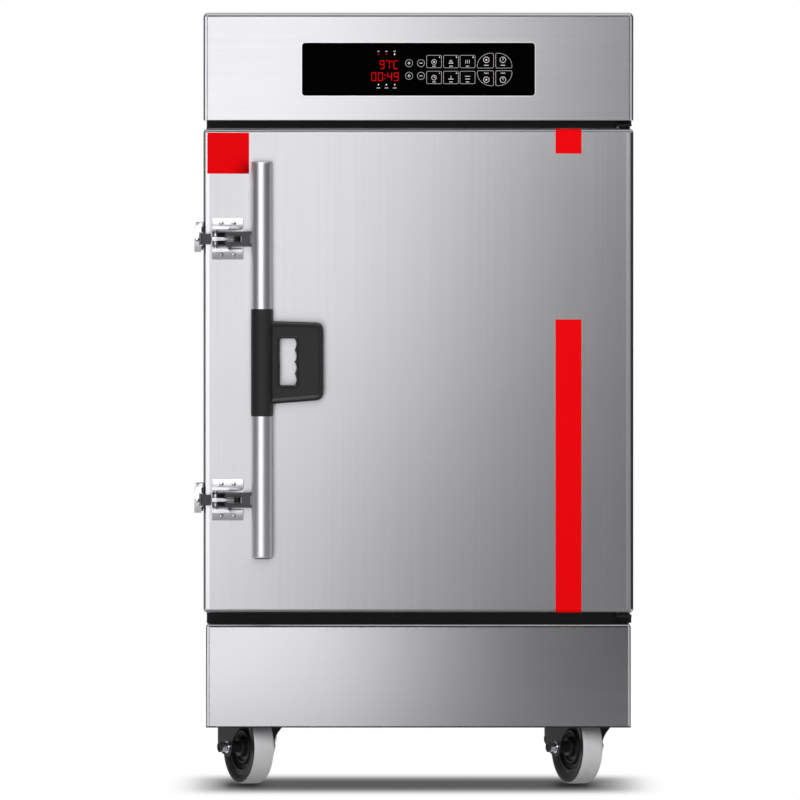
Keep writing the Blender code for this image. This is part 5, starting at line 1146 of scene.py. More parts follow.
    def _keeper(self) -> None:
        """The keeper with its soft edges, a bowed face round its notch, and the domed screw on it.

        The face is y = front - c cos(pi z / 2h) for z from -h to h. Its upper outer corner is cut.
        """
        node = f"keeper_{self.where}"
        low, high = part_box(node)
        half, cut = (high.z - low.z) / 2 - SEAT, self.keeper_notch
        left, notch, right = low.x + SEAT, low.x + 0.0082, low.x + 0.0118
        face = []
        for z0, z1, edge in ((-half, -cut, right), (-cut, cut, notch), (cut, half, right)):
            z = np.linspace(z0, z1, 9)
            near = low.y - SEAT - self.bow * np.cos(math.pi * z / (2 * half))
            west = left + np.maximum(0.0, z - 0.009) * 0.62
            loops = [
                placed(round_rect((a, edge), (b, low.y + SEAT), 0.0002, 2)(0), self.level + c, Axis.Z)
                for a, b, c in zip(west, near, z)
            ]
            face.append(loft(np.stack(loops)))
        self._make("keeper_face", face, BRIGHT_STEEL, "cabinet", "bright_fitting")
        head = dome(low.x + 0.0046, self.level - 0.001, low.y - self.bow, *self.head)
        self._make("keeper_screw", [head], SCREW_STEEL, "cabinet", "bright_fitting")
        # Black blocks above and below the notch: painted shadow between the keeper and the door's edge.
        shade = [
            slab((right + 0.0001, low.x + 0.0146), (low.y - 0.0006, low.y + SEAT), (self.level + a, self.level + b))
            for a, b in ((-0.0180, -cut), (cut, 0.0200))
        ]
        self._make("keeper_pad", shade, BLACK_PLASTIC, "cabinet", "black_plastic")
        softened(node, BRIGHT_STEEL, "cabinet", "bright_fitting", 0.0005)


# ---- castors ----


@dataclass
class Castor:
    """One swivel castor: plate and race, fork, dark core, light tread, axle with its cap."""

    corner: str
    turn: float = math.radians(26.1)
    wheel_radius: float = 0.060
    leg: Span = (0.0355, 0.0385)
    crown: Span = (0.127, 0.130)
    crown_y: Span = (-0.057, 0.0366)
    eye_radius: float = 0.0155
    hub: Span = (0.0192, 0.0356)
    hub_radius: float = 0.0095
    tread_crown: float = 0.0014
    tread_half: float = 0.0174
    tread_foot: Span = (0.0560, 0.0160)

    def build(self) -> None:
        """Build and dress the castor's pieces."""
        self.centre = (*middle_of(f"castor_wheel_{self.corner}")[:2], self.wheel_radius)
        softened(f"castor_plate_{self.corner}", ZINC, "cabinet", "zinc_sheet", 0.0005)
        self._fork()
        self._wheel()
        self._axle()

    def _make(self, stem: str, shapes: Sequence[Shape], finish: Finish, body: str, slot: str, *nodes: str) -> None:
        """Put shapes that are drawn with the axle on X into the wheel's place, as one object."""
        set_up = [shape.spun(self.turn).moved(self.centre) for shape in shapes]
        piece(f"{stem}_{self.corner}", set_up, finish, f"{body}_{self.corner}", slot, nodes, 30)

    def _fork(self) -> None:
        """The fork: a crown plate, and two legs that flare forwards at the top and end in round eyes."""
        ahead, behind = self.crown_y
        low, top = (level - self.wheel_radius for level in self.crown)
        eye = self.eye_radius * polar(np.radians(np.linspace(190, 300, 10)))
        front = [(ahead, top), (ahead, 0.044), (-0.048, 0.033), (-0.031, 0.0225), (-0.022, 0.0145), (-0.0165, 0.006)]
        back = [(0.0190, -0.0115), (0.0335, -0.002), (behind, 0.008), (behind, top)]
        outline = polygon(np.concatenate([front, eye, back]))
        inner, outer = self.leg
        shapes = [plate(outline, Axis.X, span, 0.0007) for span in ((-outer, -inner), (inner, outer))]
        shapes.append(plate(round_rect((-outer, outer), self.crown_y, 0.004), Axis.Z, (low, top), 0.0006))
        near, far = self.hub
        shapes += [rod(self.hub_radius, (way * near, way * far), ORIGIN, Axis.X) for way in (-1.0, 1.0)]
        self._make("fork_pressing", shapes, FORK_PAINT, "fork", "dark_fitting", f"castor_fork_{self.corner}")

    def _wheel(self) -> None:
        """The core's ringed faces and the crowned tread.

        The core is spun from a wavy line of radius and half width, the same on both sides. The
        tread's radius is r - c |t|^7, for t from -1 to 1 across it.
        """
        side = [
            (0.0063, 0.0188), (0.0140, 0.0188), (0.0156, 0.0170), (0.0165, 0.0090), (0.0225, 0.0080),
            (0.0240, 0.0120), (0.0258, 0.0128), (0.0272, 0.0118), (0.0290, 0.0072), (0.0345, 0.0064),
            (0.0365, 0.0086), (0.0375, 0.0136), (0.0390, 0.0146), (0.0405, 0.0136), (0.0425, 0.0136),
            (0.0445, 0.0156), (0.0520, 0.0173), (0.0565, 0.0176), (0.0584, 0.0173), (0.0588, 0.0164),
        ]
        half = eased(side, 0.0012, 3, ring=False)
        core = lathe(np.concatenate([half, (half * np.array([1, -1]))[::-1]]), ORIGIN, Axis.X, 96)
        self._make("wheel_core", [core], WHEEL_CORE, "wheel", "wheel_tread", f"castor_wheel_{self.corner}")
        t = np.linspace(-1, 1, 21)
        band = np.stack([self.wheel_radius - self.tread_crown * np.abs(t) ** 7, self.tread_half * t], axis=1)
        radius, reach = self.tread_foot
        tread = lathe([*band, (radius, reach), (radius, -reach)], ORIGIN, Axis.X, 120)
        self._make("wheel_tread", [tread], TREAD, "wheel", "wheel_tread")

    def _axle(self) -> None:
        """A washer and a bright barrel under a dark cap on one side, a hexagon head on the other."""
        leg = self.leg[1]
        barrel = [(0.0100, 0.0), (0.0100, 0.0012), (0.0075, 0.0014), (0.0075, 0.0085), (0.0062, 0.0125)]
        cap = [
            (0.0082, 0.0120), (0.0087, 0.0130), (0.0084, 0.0146), (0.0052, 0.0146),
            (0.0046, 0.0134), (0.0022, 0.0134), (0.0016, 0.0142),
        ]
        hexagon = [(0.0100, leg + 0.001), (0.0100, leg + 0.0055), (0.0090, leg + 0.0063)]
        shapes = [
            turned([(r, -leg - h) for r, h in barrel], ORIGIN, Axis.X),
            rod(0.0108, (leg, leg + 0.0012), ORIGIN, Axis.X),
            turned(hexagon, ORIGIN, Axis.X, 6),
        ]
        self._make("axle_bolt", shapes, SCREW_STEEL, "fork", "bright_fitting")
        end = turned([(r, -leg - h) for r, h in cap], ORIGIN, Axis.X)
        self._make("axle_cap", [end], FORK_PAINT, "fork", "dark_fitting")


# ---- controls ----


@dataclass
class Controls:
    """The glossy touch panel with its lamps, digits, key outlines and signs.

    Marks on the panel are placed in millimetres from its middle.
    """

    line: float = 0.0007
    corner: float = 0.005
    painted_halo: float = 0.0015
    lamp_x: tuple[float, float, float] = (-65.1, -52.1, -38.7)
    round_x: Span = (-15.3, 4.1)
    round_z: Span = (9.9, -10.7)
    digit_bar: float = 1.1
    digit_gap: float = 0.45
    board_gap: float = 0.0143
    board_sheet: float = 0.0016
    board_half: Span = (0.150, 0.028)
    standoff: Span = (0.1436, 0.0216)
    relays: int = 4
    relay_pitch: float = 0.034

    def build(self) -> None:
        """Build the panel and everything printed on or shining through it."""
        low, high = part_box("control_panel")
        self.face = low.y
        self.x, _, self.z = middle_of("control_panel")
        panel = plate(round_rect((low.x, high.x), (low.z, high.z), self.corner), Axis.Y, (low.y, high.y), 0.0006, 3)
        self._make("touch_panel", [panel], TOUCH_GLASS, "control_panel")
        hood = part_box("top_cap")[0].y
        # A thin bright steel ring round the panel: a painted highlight along its edge.
        sides = [(low[k] - self.painted_halo, high[k] + self.painted_halo) for k in (0, 2)]
        frame = flat_ring(round_rect(*sides, self.corner + self.painted_halo), 0.0012, Axis.Y, hood - 0.0005, hood + SEAT)
        self._make("panel_bezel", [frame], BRIGHT_STEEL)
        self._make("panel_keys", self._keys(), INK)
        self._make("panel_signs", self._signs(), SIGN_INK)
        self._make("panel_digits", self._digits(), LAMP_RED)
        red, white = self._lamps()
        self._make("panel_lamps_red", red, LAMP_RED)
        self._make("panel_lamps_white", white, LAMP_WHITE)
        dress(BLACK_PLASTIC, "contactor")
        self._board()

    @staticmethod
    def _make(name: str, shapes: Sequence[Shape], finish: Finish, *nodes: str) -> None:
        """Make one of the panel's objects."""
        piece(name, shapes, finish, "cabinet", "panel_gloss", nodes)

    def _board(self) -> None:
        """The circuit board on its standoffs, with the display's housing and a row of relays."""
        front, x, z = self.face + self.board_gap, self.x, self.z
        back = front + self.board_sheet
        across, up = (about(middle, half) for middle, half in zip((x, z), self.board_half))
        self._make("board_sheet", [slab(across, (front, back), up)], BOARD)
        parts = [slab((x - 0.075, x - 0.015), (front - 0.007, front), about(z, 0.018))]
        for start in x - 0.041 + self.relay_pitch * np.arange(self.relays):
            parts.append(slab((start, start + 0.019), (back, front + 0.0166), about(z, 0.011)))
        across, up = (about(middle, half) for middle, half in zip((x, z), self.standoff))
        post = (self.face + 0.0024, front)
        parts += [rod(0.003, post, (a, 0, b), Axis.Y, 16) for a in across for b in up]
        self._make("board_parts", parts, BLACK_PLASTIC)

    def _mark(self, outline: Outline) -> Shape:
        """A flat printed mark on the panel's face."""
        return drawn(outline, [(0, self.face + SEAT), (0, self.face - FILM / 2)], Axis.Y)

    def _spans(self, x: Span, z: Span) -> tuple[Span, Span]:
        """Spans across and up the panel, in metres of the model's frame."""
        return tuple((at + min(span) / 1000, at + max(span) / 1000) for at, span in ((self.x, x), (self.z, z)))

    def _bar(self, x: Span, z: Span) -> Shape:
        """A flat printed bar."""
        across, up = self._spans(x, z)
        return self._mark(round_rect(across, up, min(across[1] - across[0], up[1] - up[0]) * 0.25, 2))

    def _circle(self, x: float, z: float, radius: float, steps: int) -> Outline:
        """A circle's outline."""
        return circle(self.x + x / 1000, self.z + z / 1000, radius / 1000, steps)

    def _spot(self, x: float, z: float, radius: float) -> Shape:
        """A round mark."""
        return self._mark(self._circle(x, z, radius, 24))

    def _hoop(self, outline: Outline, share: float = 1.0) -> Shape:
        """A printed line round an outline, whose width is a share of the usual one."""
        return flat_ring(outline, self.line * share, Axis.Y, self.face + SEAT, self.face - FILM / 2)

    def _petal_key(self, x: Span, z: Span, corner: int) -> Shape:
        """The outline of a key with one wide quarter-ellipse corner and three small ones.

        Args:
            x: Its span across.
            z: Its span up.
            corner: Which corner is wide, counted anticlockwise from the upper right.

        Returns:
            The printed line.
        """
        points = []
        for k, (right, up) in enumerate(((1, 1), (0, 1), (0, 0), (1, 0))):
            wide = np.array([x[1] - x[0], z[1] - z[0]]) * 0.86
            reach = wide if k == corner else np.array([3.0, 3.0])
            centre = np.array([x[right], z[up]]) - reach * (2 * right - 1, 2 * up - 1)
            points.append(centre + reach * polar(np.linspace(0, math.pi / 2, 10) + k * math.pi / 2))
        return self._hoop(polygon(np.concatenate(points) / 1000 + np.array([self.x, self.z])))

    def _keys(self) -> list[Shape]:
        """Four round keys, six square ones and a round block of four larger ones."""
        shapes = [self._hoop(self._circle(x, z, 6.2, 40)) for x in self.round_x for z in self.round_z]
        for x in ((13.0, 37.9), (40.5, 65.4), (67.4, 92.5)):
            for z in ((2.1, 23.0), (-23.8, -2.9)):
                shapes.append(self._hoop(round_rect(*self._spans(x, z), 0.0022, 4)))
        left, right, upper, lower = (95.4, 122.6), (125.4, 152.6), (1.6, 26.5), (-27.2, -2.0)
        for corner, (x, z) in enumerate(((right, upper), (left, upper), (left, lower), (right, lower))):
            shapes.append(self._petal_key(x, z, corner))
        return shapes

    def _caption(self, x: float, z: float, blocks: int) -> list[Shape]:
        """A row of small plain blocks in the place of a word."""
        middles = x + 1.9 * (np.arange(blocks) - (blocks - 1) / 2)
        return [self._bar(about(middle, 0.75), about(z, 0.7)) for middle in middles]

    def _signs(self) -> list[Shape]:
        """Signs on the keys: plus and minus, and plain marks of lines and rings."""
        shapes = []
        for x, plus in zip(self.round_x, (True, False)):
            for z in self.round_z:
                shapes.append(self._bar(about(x, 2.3), about(z, 0.6)))
                if plus:
                    shapes.append(self._bar(about(x, 0.6), about(z, 2.3)))
        for k, x in enumerate((25.4, 52.9, 79.9)):
            for row, z in enumerate((12.0, -13.6)):
                shapes += self._small_sign(x, z, k + 3 * row)
        for x in (110.5, 137.5):
            for z, low in ((15.4, 6.4), (-17.0, -6.4)):
                shapes.append(self._hoop(self._circle(x, z, 5.0, 40), 1.2))
                shapes.append(self._spot(x, z, 1.5) if x < 120 else self._bar(about(x, 0.5), (z - 0.5, z + 3.5)))
                shapes += self._caption(x, low, 4)
        for x in self.lamp_x:
            shapes += self._caption(x, 29.0, 2) + self._caption(x, -30.4, 3)
        return shapes

    def _small_sign(self, x: float, z: float, kind: int) -> list[Shape]:
        """One of six plain signs of rings, bars and steps, over a row of blocks."""
        ring = self._hoop(self._circle(x, z, 4.2, 32))
        stack = [self._bar(about(x, 4.0 - k), (z - 2.8 + 2.3 * k, z - 1.8 + 2.3 * k)) for k in range(3)]
        steam = [self._bar(about(x + d, 0.4), (z - 2.6, z + 3.4)) for d in (-3.0, 0.0, 3.0)]
        signs = [
            [ring, self._spot(x, z, 1.4)],
            stack,
            steam,
            [ring, self._bar(about(x, 0.4), (z, z + 3.0)), self._bar((x, x + 2.4), about(z, 0.4))],
            [self._bar(about(x, 4.2), (z - 3.0, z - 1.8)), steam[1]],
            [self._bar(about(x, 4.2), (z + 1.6, z + 2.6)), stack[0]],
        ]
        return signs[kind] + self._caption(x, z - 7.0, 3)

    def _digits(self) -> list[Shape]:
        """97 degrees over 00:49, in seven-bar digits."""
        shapes = []
        for x, digit in ((-62.7, 9), (-53.7, 7)):
            shapes += self._digit(x, 0.5, 7.2, 14.0, digit)
        shapes.append(self._hoop(self._circle(-43.6, 12.8, 1.4, 20), 6 / 7))
        for x, z in (((-39.9, -33.4), (13.4, 14.5)), ((-40.4, -39.3), (1.3, 13.7)), ((-39.9, -33.4), (0.5, 1.6))):
            shapes.append(self._bar(x, z))
        for x, digit in ((-76.3, 0), (-65.6, 0), (-50.6, 4), (-39.9, 9)):
            shapes += self._digit(x, -19.0, 7.6, 13.8, digit)
        return shapes + [self._spot(-54.4, z, 0.95) for z in (-9.3, -14.9)]

    def _digit(self, left: float, low: float, width: float, height: float, value: int) -> list[Shape]:
        """The lit bars of one digit. Bars are listed top, two upper, middle, two lower, bottom."""
        thick, gap, half = self.digit_bar, self.digit_gap, height / 2
        flat, near, far = (gap, width - gap), (0, thick), (width - thick, width)
        upper, lower = (half + gap, height - gap), (gap, half - gap)
        bars = [
            (flat, (height - thick, height)), (near, upper), (far, upper), (flat, about(half, thick / 2)),
            (near, lower), (far, lower), (flat, (0, thick)),
        ]
        lit = {0: (0, 1, 2, 4, 5, 6), 4: (1, 2, 3, 5), 7: (0, 2, 5), 9: (0, 1, 2, 3, 5, 6)}[value]
        return [self._bar((left + a, left + b), (low + c, low + d)) for (a, b), (c, d) in (bars[k] for k in lit)]

    def _lamps(self) -> tuple[list[Shape], list[Shape]]:
        """Small lamps over and under the display, and one on each square key: three red, the rest white."""
        red = [*((x, 24.4, 1.0) for x in self.lamp_x[:2]), (34.4, -6.4, 0.9)]
        white = [(self.lamp_x[2], 24.4, 1.0), *((x, -25.2, 1.0) for x in self.lamp_x)]
        white += [(34.4, 19.6, 0.9), (34.4, -6.4, 0.9), (61.9, 19.6, 0.9), (61.9, -6.4, 0.9), (89.0, 19.6, 0.9)]
        return [self._spot(*spot) for spot in red], [self._spot(*spot) for spot in white]


# ---- inside ----


@dataclass
class Chamber:
    """The steam chamber: trays with rolled rims, heater tubes and sheets."""

    trays: int = 8
    tray_corner: float = 0.028
    tray_sheet: float = 0.001
    flange_y: Span = (0.2026, 0.2083)
    box_y: Span = (0.208, 0.2370)
    box_inset: float = 0.0085
    hairpin_pitch: float = 0.090
    hairpin_radius: float = 0.030
    hairpin_straight: float = 0.1
    tube_radius: float = 0.005
    stud_start: float = 0.236
    stud_radius: float = 0.003

    def build(self) -> None:
        """Build the trays and the heater, and dress the nodes that stay."""
        dress(MILL_STEEL, "inner_liner", "sump_pan", "rack_left", "rack_right", "baffle_plate", "float_tank")
        dress(FOAM, "insulation_foam")
        dress(FLOAT, "float_arm")
        for number in range(1, self.trays + 1):
            self._tray(number)
        self._heater()

    def _tray(self, number: int) -> None:
        """A drawn tray: sloping walls, a soft foot and a rim rolled down and in."""
        low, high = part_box(f"tray_{number}")
        outline = round_rect((low.x, high.x), (low.y, high.y), self.tray_corner, 8)
        z, top = low.z, high.z
        under = top - self.tray_sheet
        outer = [
            (0.026, z), (0.0185, z + 0.0008), (0.0160, z + 0.0040), (0.0088, top - 0.0035), (0.0075, top - 0.0012),
            (0.0060, under), (0.0022, under), (0.0011, top - 0.0018), (0.0010, top - 0.0058),
        ]
        inner = [
            (0.0002, top - 0.0060), (0.0, top - 0.0050), (0.0, top - 0.0022), (0.0008, top - 0.0007), (0.0026, top),
            (0.0070, top), (0.0086, top - 0.0010), (0.0098, top - 0.0035), (0.0170, z + 0.0050),
            (0.0192, z + 0.0022), (0.0265, z + 0.0010),
        ]
        shape = drawn(outline, [*outer, *inner], Axis.Z)
        piece(f"tray_{number}_drawn", [shape], TRAY_STEEL, "cabinet", "tray_steel", (f"tray_{number}",), 40)

    def _heater(self) -> None:
        """Three hairpins on a flange with a screwed rim, and their terminals in the rear bay."""
        low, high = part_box("heating_element")
        middle, _, z = middle_of("heating_element")
        cut, r, near, far = self.box_inset, self.hairpin_radius, self.hairpin_straight, self.flange_y[0] + 0.0014
        shapes = [
            slab((low.x, high.x), self.flange_y, (low.z, high.z), 0.0012),
            slab((low.x + cut, high.x - cut), self.box_y, (low.z + cut, high.z - cut), 0.001),
        ]
        for x in middle + self.hairpin_pitch * np.arange(-1, 2):
            bend = (x, low.y + self.tube_radius + r) + r * polar(np.linspace(math.pi, math.tau, 25))
            line = np.concatenate([[[x - r, far], [x - r, near]], bend, [[x + r, near], [x + r, far]]])
            shapes.append(tube(placed(line, z, Axis.Z), self.tube_radius))
            for end in about(x, r):
                start, thick, tip = self.stud_start, self.stud_radius, high.y
                stud = [(HAIR, start), (thick, start), (thick, tip - 0.0005), (HAIR, tip)]
                shapes.append(lathe(stud, (end, 0, z), Axis.Y, 16, closed=False))
        piece("heater_tubes", shapes, HEAT_TINT, "cabinet", "heater_sheath", ("heating_element",))


# ---- rear fittings ----


@dataclass
class RearFittings:
    """Drain valve with its lever, vent pipe, inlet collar and cable gland."""

    face: float = 0.28295
    valve_z: float = 0.314
    valve_start: float = 0.28865
    stem: Span = (-0.2325, 0.301983)
    inlet: Span = (0.1695, 0.389)
    inlet_start: float = 0.2850
    thread_pitch: float = 0.0021
    thread: Span = (0.0103, 0.0111)
    flange: float = 0.003
    hexagons: tuple[Span, Span] = ((0.0, 0.010), (0.030, 0.040))
    ribs: int = 4
    rib_pitch: float = 0.0032

    def build(self) -> None:
        """Build the fittings behind the cabinet."""
        self._valve()
        self._lever()
        self._vent()
        self._gland()
        self._inlet()

    def _valve(self) -> None:
        """A ball valve with six-sided ends, a stem with its nut, and a ribbed hose nipple."""
        low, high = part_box("drain_valve")
        x, z, start, end, face = middle_of("drain_valve")[0], self.valve_z, self.valve_start, high.y, self.face
        axis, stem = (x, 0, z), (x, self.stem[1], 0)
        top = face + self.flange
        flange = eased([(0.008, face), (0.015, face), (0.015, top), (0.008, top)], 0.0006, 2)
        shapes = [rod(0.011, (low.y, start), axis, Axis.Y, 40), lathe(flange, axis, Axis.Y, 40)]
        for a, b in ((start + near, start + far) for near, far in self.hexagons):
            ring = [(0.0138, a), (0.0150, a + 0.0012), (0.0150, b - 0.0012), (0.0138, b)]
            shapes.append(turned(ring, axis, Axis.Y, 6))
        belly = (0.0, start + 0.020) + polar(np.linspace(-0.9, 0.9, 15)) * (0.0148, 0.0135)
        shapes.append(turned(belly, axis, Axis.Y, 40))
        ribs = [(0.0075, end - 0.020), (0.0075, end), (0.0092, end)]
        for y in end - 0.0012 - self.rib_pitch * np.arange(self.ribs):
            ribs += [(0.0108, y - 0.0022), (0.0094, y - 0.0026)]
        shapes.append(lathe([*ribs, (0.0094, end - 0.020)], axis, Axis.Y, 40))
        nut = [(0.0075, z + 0.0233), (0.0080, z + 0.0240), (0.0080, z + 0.0290), (0.0070, z + 0.0298)]
        shapes += [
            rod(0.0094, (end - 0.026, end - 0.018), axis, Axis.Y, 40),
            rod(0.008, (z + 0.010, z + 0.0197), stem, Axis.Z),
            rod(0.005, (z + 0.019, z + 0.032), stem, Axis.Z, 24),
            turned(nut, stem, Axis.Z, 6),
        ]
        piece("valve_body", shapes, BRASS, "cabinet", "brass_fitting", ("drain_valve",), 30)

    def _lever(self) -> None:
        """The valve's lever, stamped from sheet, with a dipped sleeve on its outer half."""
        low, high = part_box("drain_lever")
        x, y = self.stem
        line = [(x - 0.0098, y - 0.004), (x - 0.006, y - 0.0095), (x + 0.010, y - 0.0065), (high.x, y - 0.0065)]
        outline = line + [(a, 2 * y - b) for a, b in reversed(line)]
        body = plate(polygon(outline, 0.004, 4), Axis.Z, (low.z, high.z))
        piece("valve_lever_plate", [body], BRIGHT_STEEL, "valve_lever", "bright_fitting", ("drain_lever",))
        outline = round_rect((high.x - 0.040, high.x + 0.0006), about(y, 0.0075), 0.006)
        grip = plate(outline, Axis.Z, (low.z - 0.0012, high.z + 0.0012), 0.0018, 4)
        piece("valve_lever_sleeve", [grip], LEVER_SLEEVE, "valve_lever", "bright_fitting")

    def _vent(self) -> None:
        """The steam vent: a pipe with a rolled mouth and a screwed flange."""
        low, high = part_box("steam_vent")
        x, _, z = middle_of("steam_vent")
        face, top = self.face, self.face + self.flange
        pipe = eased([(0.0115, low.y), (0.014, low.y), (0.014, high.y), (0.0115, high.y)], 0.001)
        ring = eased([(0.013, face), (0.022, face), (0.022, top), (0.013, top)], 0.0008)
        shapes = [lathe(line, (x, 0, z), Axis.Y, 64) for line in (pipe, ring)]
        piece("vent_pipe", shapes, BRIGHT_STEEL, "cabinet", "chamber_sheet", ("steam_vent",))

    def _gland(self) -> None:
        """The cable gland: a six-sided nut and a fluted dome."""
        low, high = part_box("cable_gland")
        x, _, z = middle_of("cable_gland")
        face = self.face
        turn = np.linspace(0, math.tau, 96, endpoint=False)
        plain = polar(turn)
        around = plain * (1 - 0.045 * (np.cos(12 * turn) > 0.2))[:, None]
        levels = [(0.0122, face + 0.0062), (0.0122, face + 0.0100), (0.0112, face + 0.0140), (0.0090, high.y)]
        rows = [placed(r * around, y, Axis.Y) for r, y in levels]
        rows += [placed(0.0055 * plain, y, Axis.Y) for y in (high.y, face + 0.0062)]
        nut = [(0.0116, face), (0.0124, face + 0.0010), (0.0124, face + 0.0052), (0.0116, face + 0.0062)]
        shapes = [
            loft(np.stack(rows), closed=True).moved((x, 0, z)),
            turned(nut, (x, 0, z), Axis.Y, 6),
            rod(0.0080, (low.y, face + 0.001), (x, 0, z), Axis.Y),
        ]
        piece("gland_moulding", shapes, BLACK_PLASTIC, "cabinet", "black_plastic", ("cable_gland",))

    def _inlet(self) -> None:
        """A threaded brass collar on the inlet spigot."""
        x, z = self.inlet
        start, half = self.inlet_start, self.thread_pitch / 2
        crests = [(self.thread[k % 2], start + half * k) for k in range(12)]
        line = [(0.0098, start), *crests, (0.0098, crests[-1][1])]
        piece("inlet_thread", [lathe(line, (x, 0, z), Axis.Y)], BRASS, "cabinet", "brass_fitting")


# ---- studio ----


class Lit(Enum):
    """What a lamp is kept for."""

    SATIN = auto()
    HOOD = auto()
    BASE = auto()
    SHEETS = auto()
    POLISHED = auto()
    PALE = auto()
    GLOSS = auto()
    DARK = auto()
    ALL = auto()


LIT_FINISHES: dict[Lit, tuple[Finish, ...]] = {
    Lit.SATIN: (UPRIGHT_STEEL, PAINTED_HIGHLIGHT_STEEL, PAINTED_DARK_REFLECTION_STEEL, MILL_STEEL, TRAY_STEEL, ZINC, BRASS, HEAT_TINT),
    Lit.HOOD: (ACROSS_STEEL,),
    Lit.BASE: (BASE_STEEL,),
    Lit.POLISHED: (BRIGHT_TUBE, BRIGHT_STEEL, SCREW_STEEL),
    Lit.PALE: (RED_FILM, INK, SIGN_INK, LAMP_WHITE, LAMP_RED, TREAD, FOAM, FLOAT),
    Lit.GLOSS: (TOUCH_GLASS,),
}


@dataclass(frozen=True)
class Lamp:
    """One large soft lamp."""

    name: str
    lit: Lit
    place: Point
    target: Point
    size: Span
    power: float
    blocked: bool = True


def key(name: str, lit: Lit, x: float, z: float, power: float) -> Lamp:
    """A key light in front of the door, that faces it squarely."""
    return Lamp(name, lit, (x, -3.2, z), (x, 0.0, z), (0.5, 0.7), power)


def sky(name: str, x: float, y: float, z: float) -> Lamp:
    """A wide lamp high over one corner, for the whole object."""
    return Lamp(name, Lit.ALL, (x, y, z), (0.0, 0.0, 1.0), (3.0, 2.4), 13.0)


LAMPS = (
    key("door_key_low", Lit.SATIN, -0.5, 0.2, 2.9),
    key("door_key_middle", Lit.SATIN, -0.25, 0.9, 3.0),
    key("door_key_high", Lit.SATIN, 0.0, 1.6, 3.3),
    key("door_key_centre", Lit.SATIN, -0.25, 1.6, 0.5),
    key("door_key_left", Lit.SATIN, -0.75, 0.2, 0.3),
    key("hood_key_left", Lit.HOOD, -0.5, 0.9, 2.9),
    key("hood_key_middle", Lit.HOOD, -0.25, 0.9, 2.8),
    key("hood_key_high", Lit.HOOD, -0.25, 1.6, 3.4),
    key("hood_key_right", Lit.HOOD, 0.0, 1.6, 1.2),
    key("hood_key_low", Lit.HOOD, 0.6, 0.2, 1.8),
    key("base_key", Lit.BASE, -0.32, 0.12, 2.95),
    Lamp("edge_left", Lit.SHEETS, (-2.6, -1.9, 0.9), (-0.34, -0.3, 0.9), (2.6, 2.4), 33.0),
    Lamp("edge_right", Lit.SHEETS, (2.6, -1.9, 0.9), (0.34, -0.3, 0.9), (2.6, 2.4), 15.0),
    Lamp("back_fill", Lit.SHEETS, (0.0, 3.6, 1.6), (0.0, 0.3, 0.7), (3.2, 3.2), 20.0),
    sky("sky_front_left", -2.6, -2.8, 3.6),
    sky("sky_front_right", 2.6, -2.8, 3.6),
    sky("sky_back_left", -2.6, 2.8, 3.0),
    sky("sky_back_right", 2.6, 2.8, 3.0),
    Lamp("top_soft", Lit.ALL, (0.0, -0.4, 3.2), (0.0, -0.4, 0.0), (3.6, 3.0), 30.0),
    Lamp("rim_left", Lit.ALL, (-1.9, 3.2, 0.9), (0.0, 0.0, 0.7), (1.8, 2.4), 6.0),
    Lamp("rim_right", Lit.ALL, (1.9, 3.2, 0.9), (0.0, 0.0, 0.7), (1.8, 2.4), 6.0),
    Lamp("fittings_front", Lit.POLISHED, (-2.7, -10.3, 5.2), (-2.7, 0.0, 5.2), (9.1, 11.4), 760.0),
    Lamp("fittings_left", Lit.POLISHED, (-2.89, 1.09, 0.9), (-0.245, -0.323, 0.7), (3.3, 2.4), 5.0, False),
    Lamp("fittings_right", Lit.POLISHED, (2.40, 1.09, 0.9), (-0.245, -0.323, 0.7), (3.3, 2.4), 6.0, False),
    Lamp("pale_fill", Lit.PALE, (0.7, -3.2, 1.2), (0.0, -0.3, 0.6), (1.6, 1.6), 80.0),
    Lamp("dark_top", Lit.DARK, (-0.2, -2.2, 3.2), (-0.2, -0.3, 0.7), (2.4, 0.8), 36.0),
    Lamp("dark_fill", Lit.DARK, (-0.2, -3.2, 1.2), (-0.2, -0.3, 0.9), (4.4, 2.4), 15.0),
)


def seen(tree: bpy.types.NodeTree, lit: bpy.types.NodeSocket, shown: bpy.types.NodeSocket, output: str) -> None:
    """Show one shader to the eye, and light the scene with another."""
    eye = add_node(tree, "LightPath", "Is Camera Ray", {})
    mixed = add_node(tree, "MixShader", "Shader", {"Fac": eye, 1: lit, 2: shown})
    feed(tree, tree.nodes[output], {"Surface": mixed})


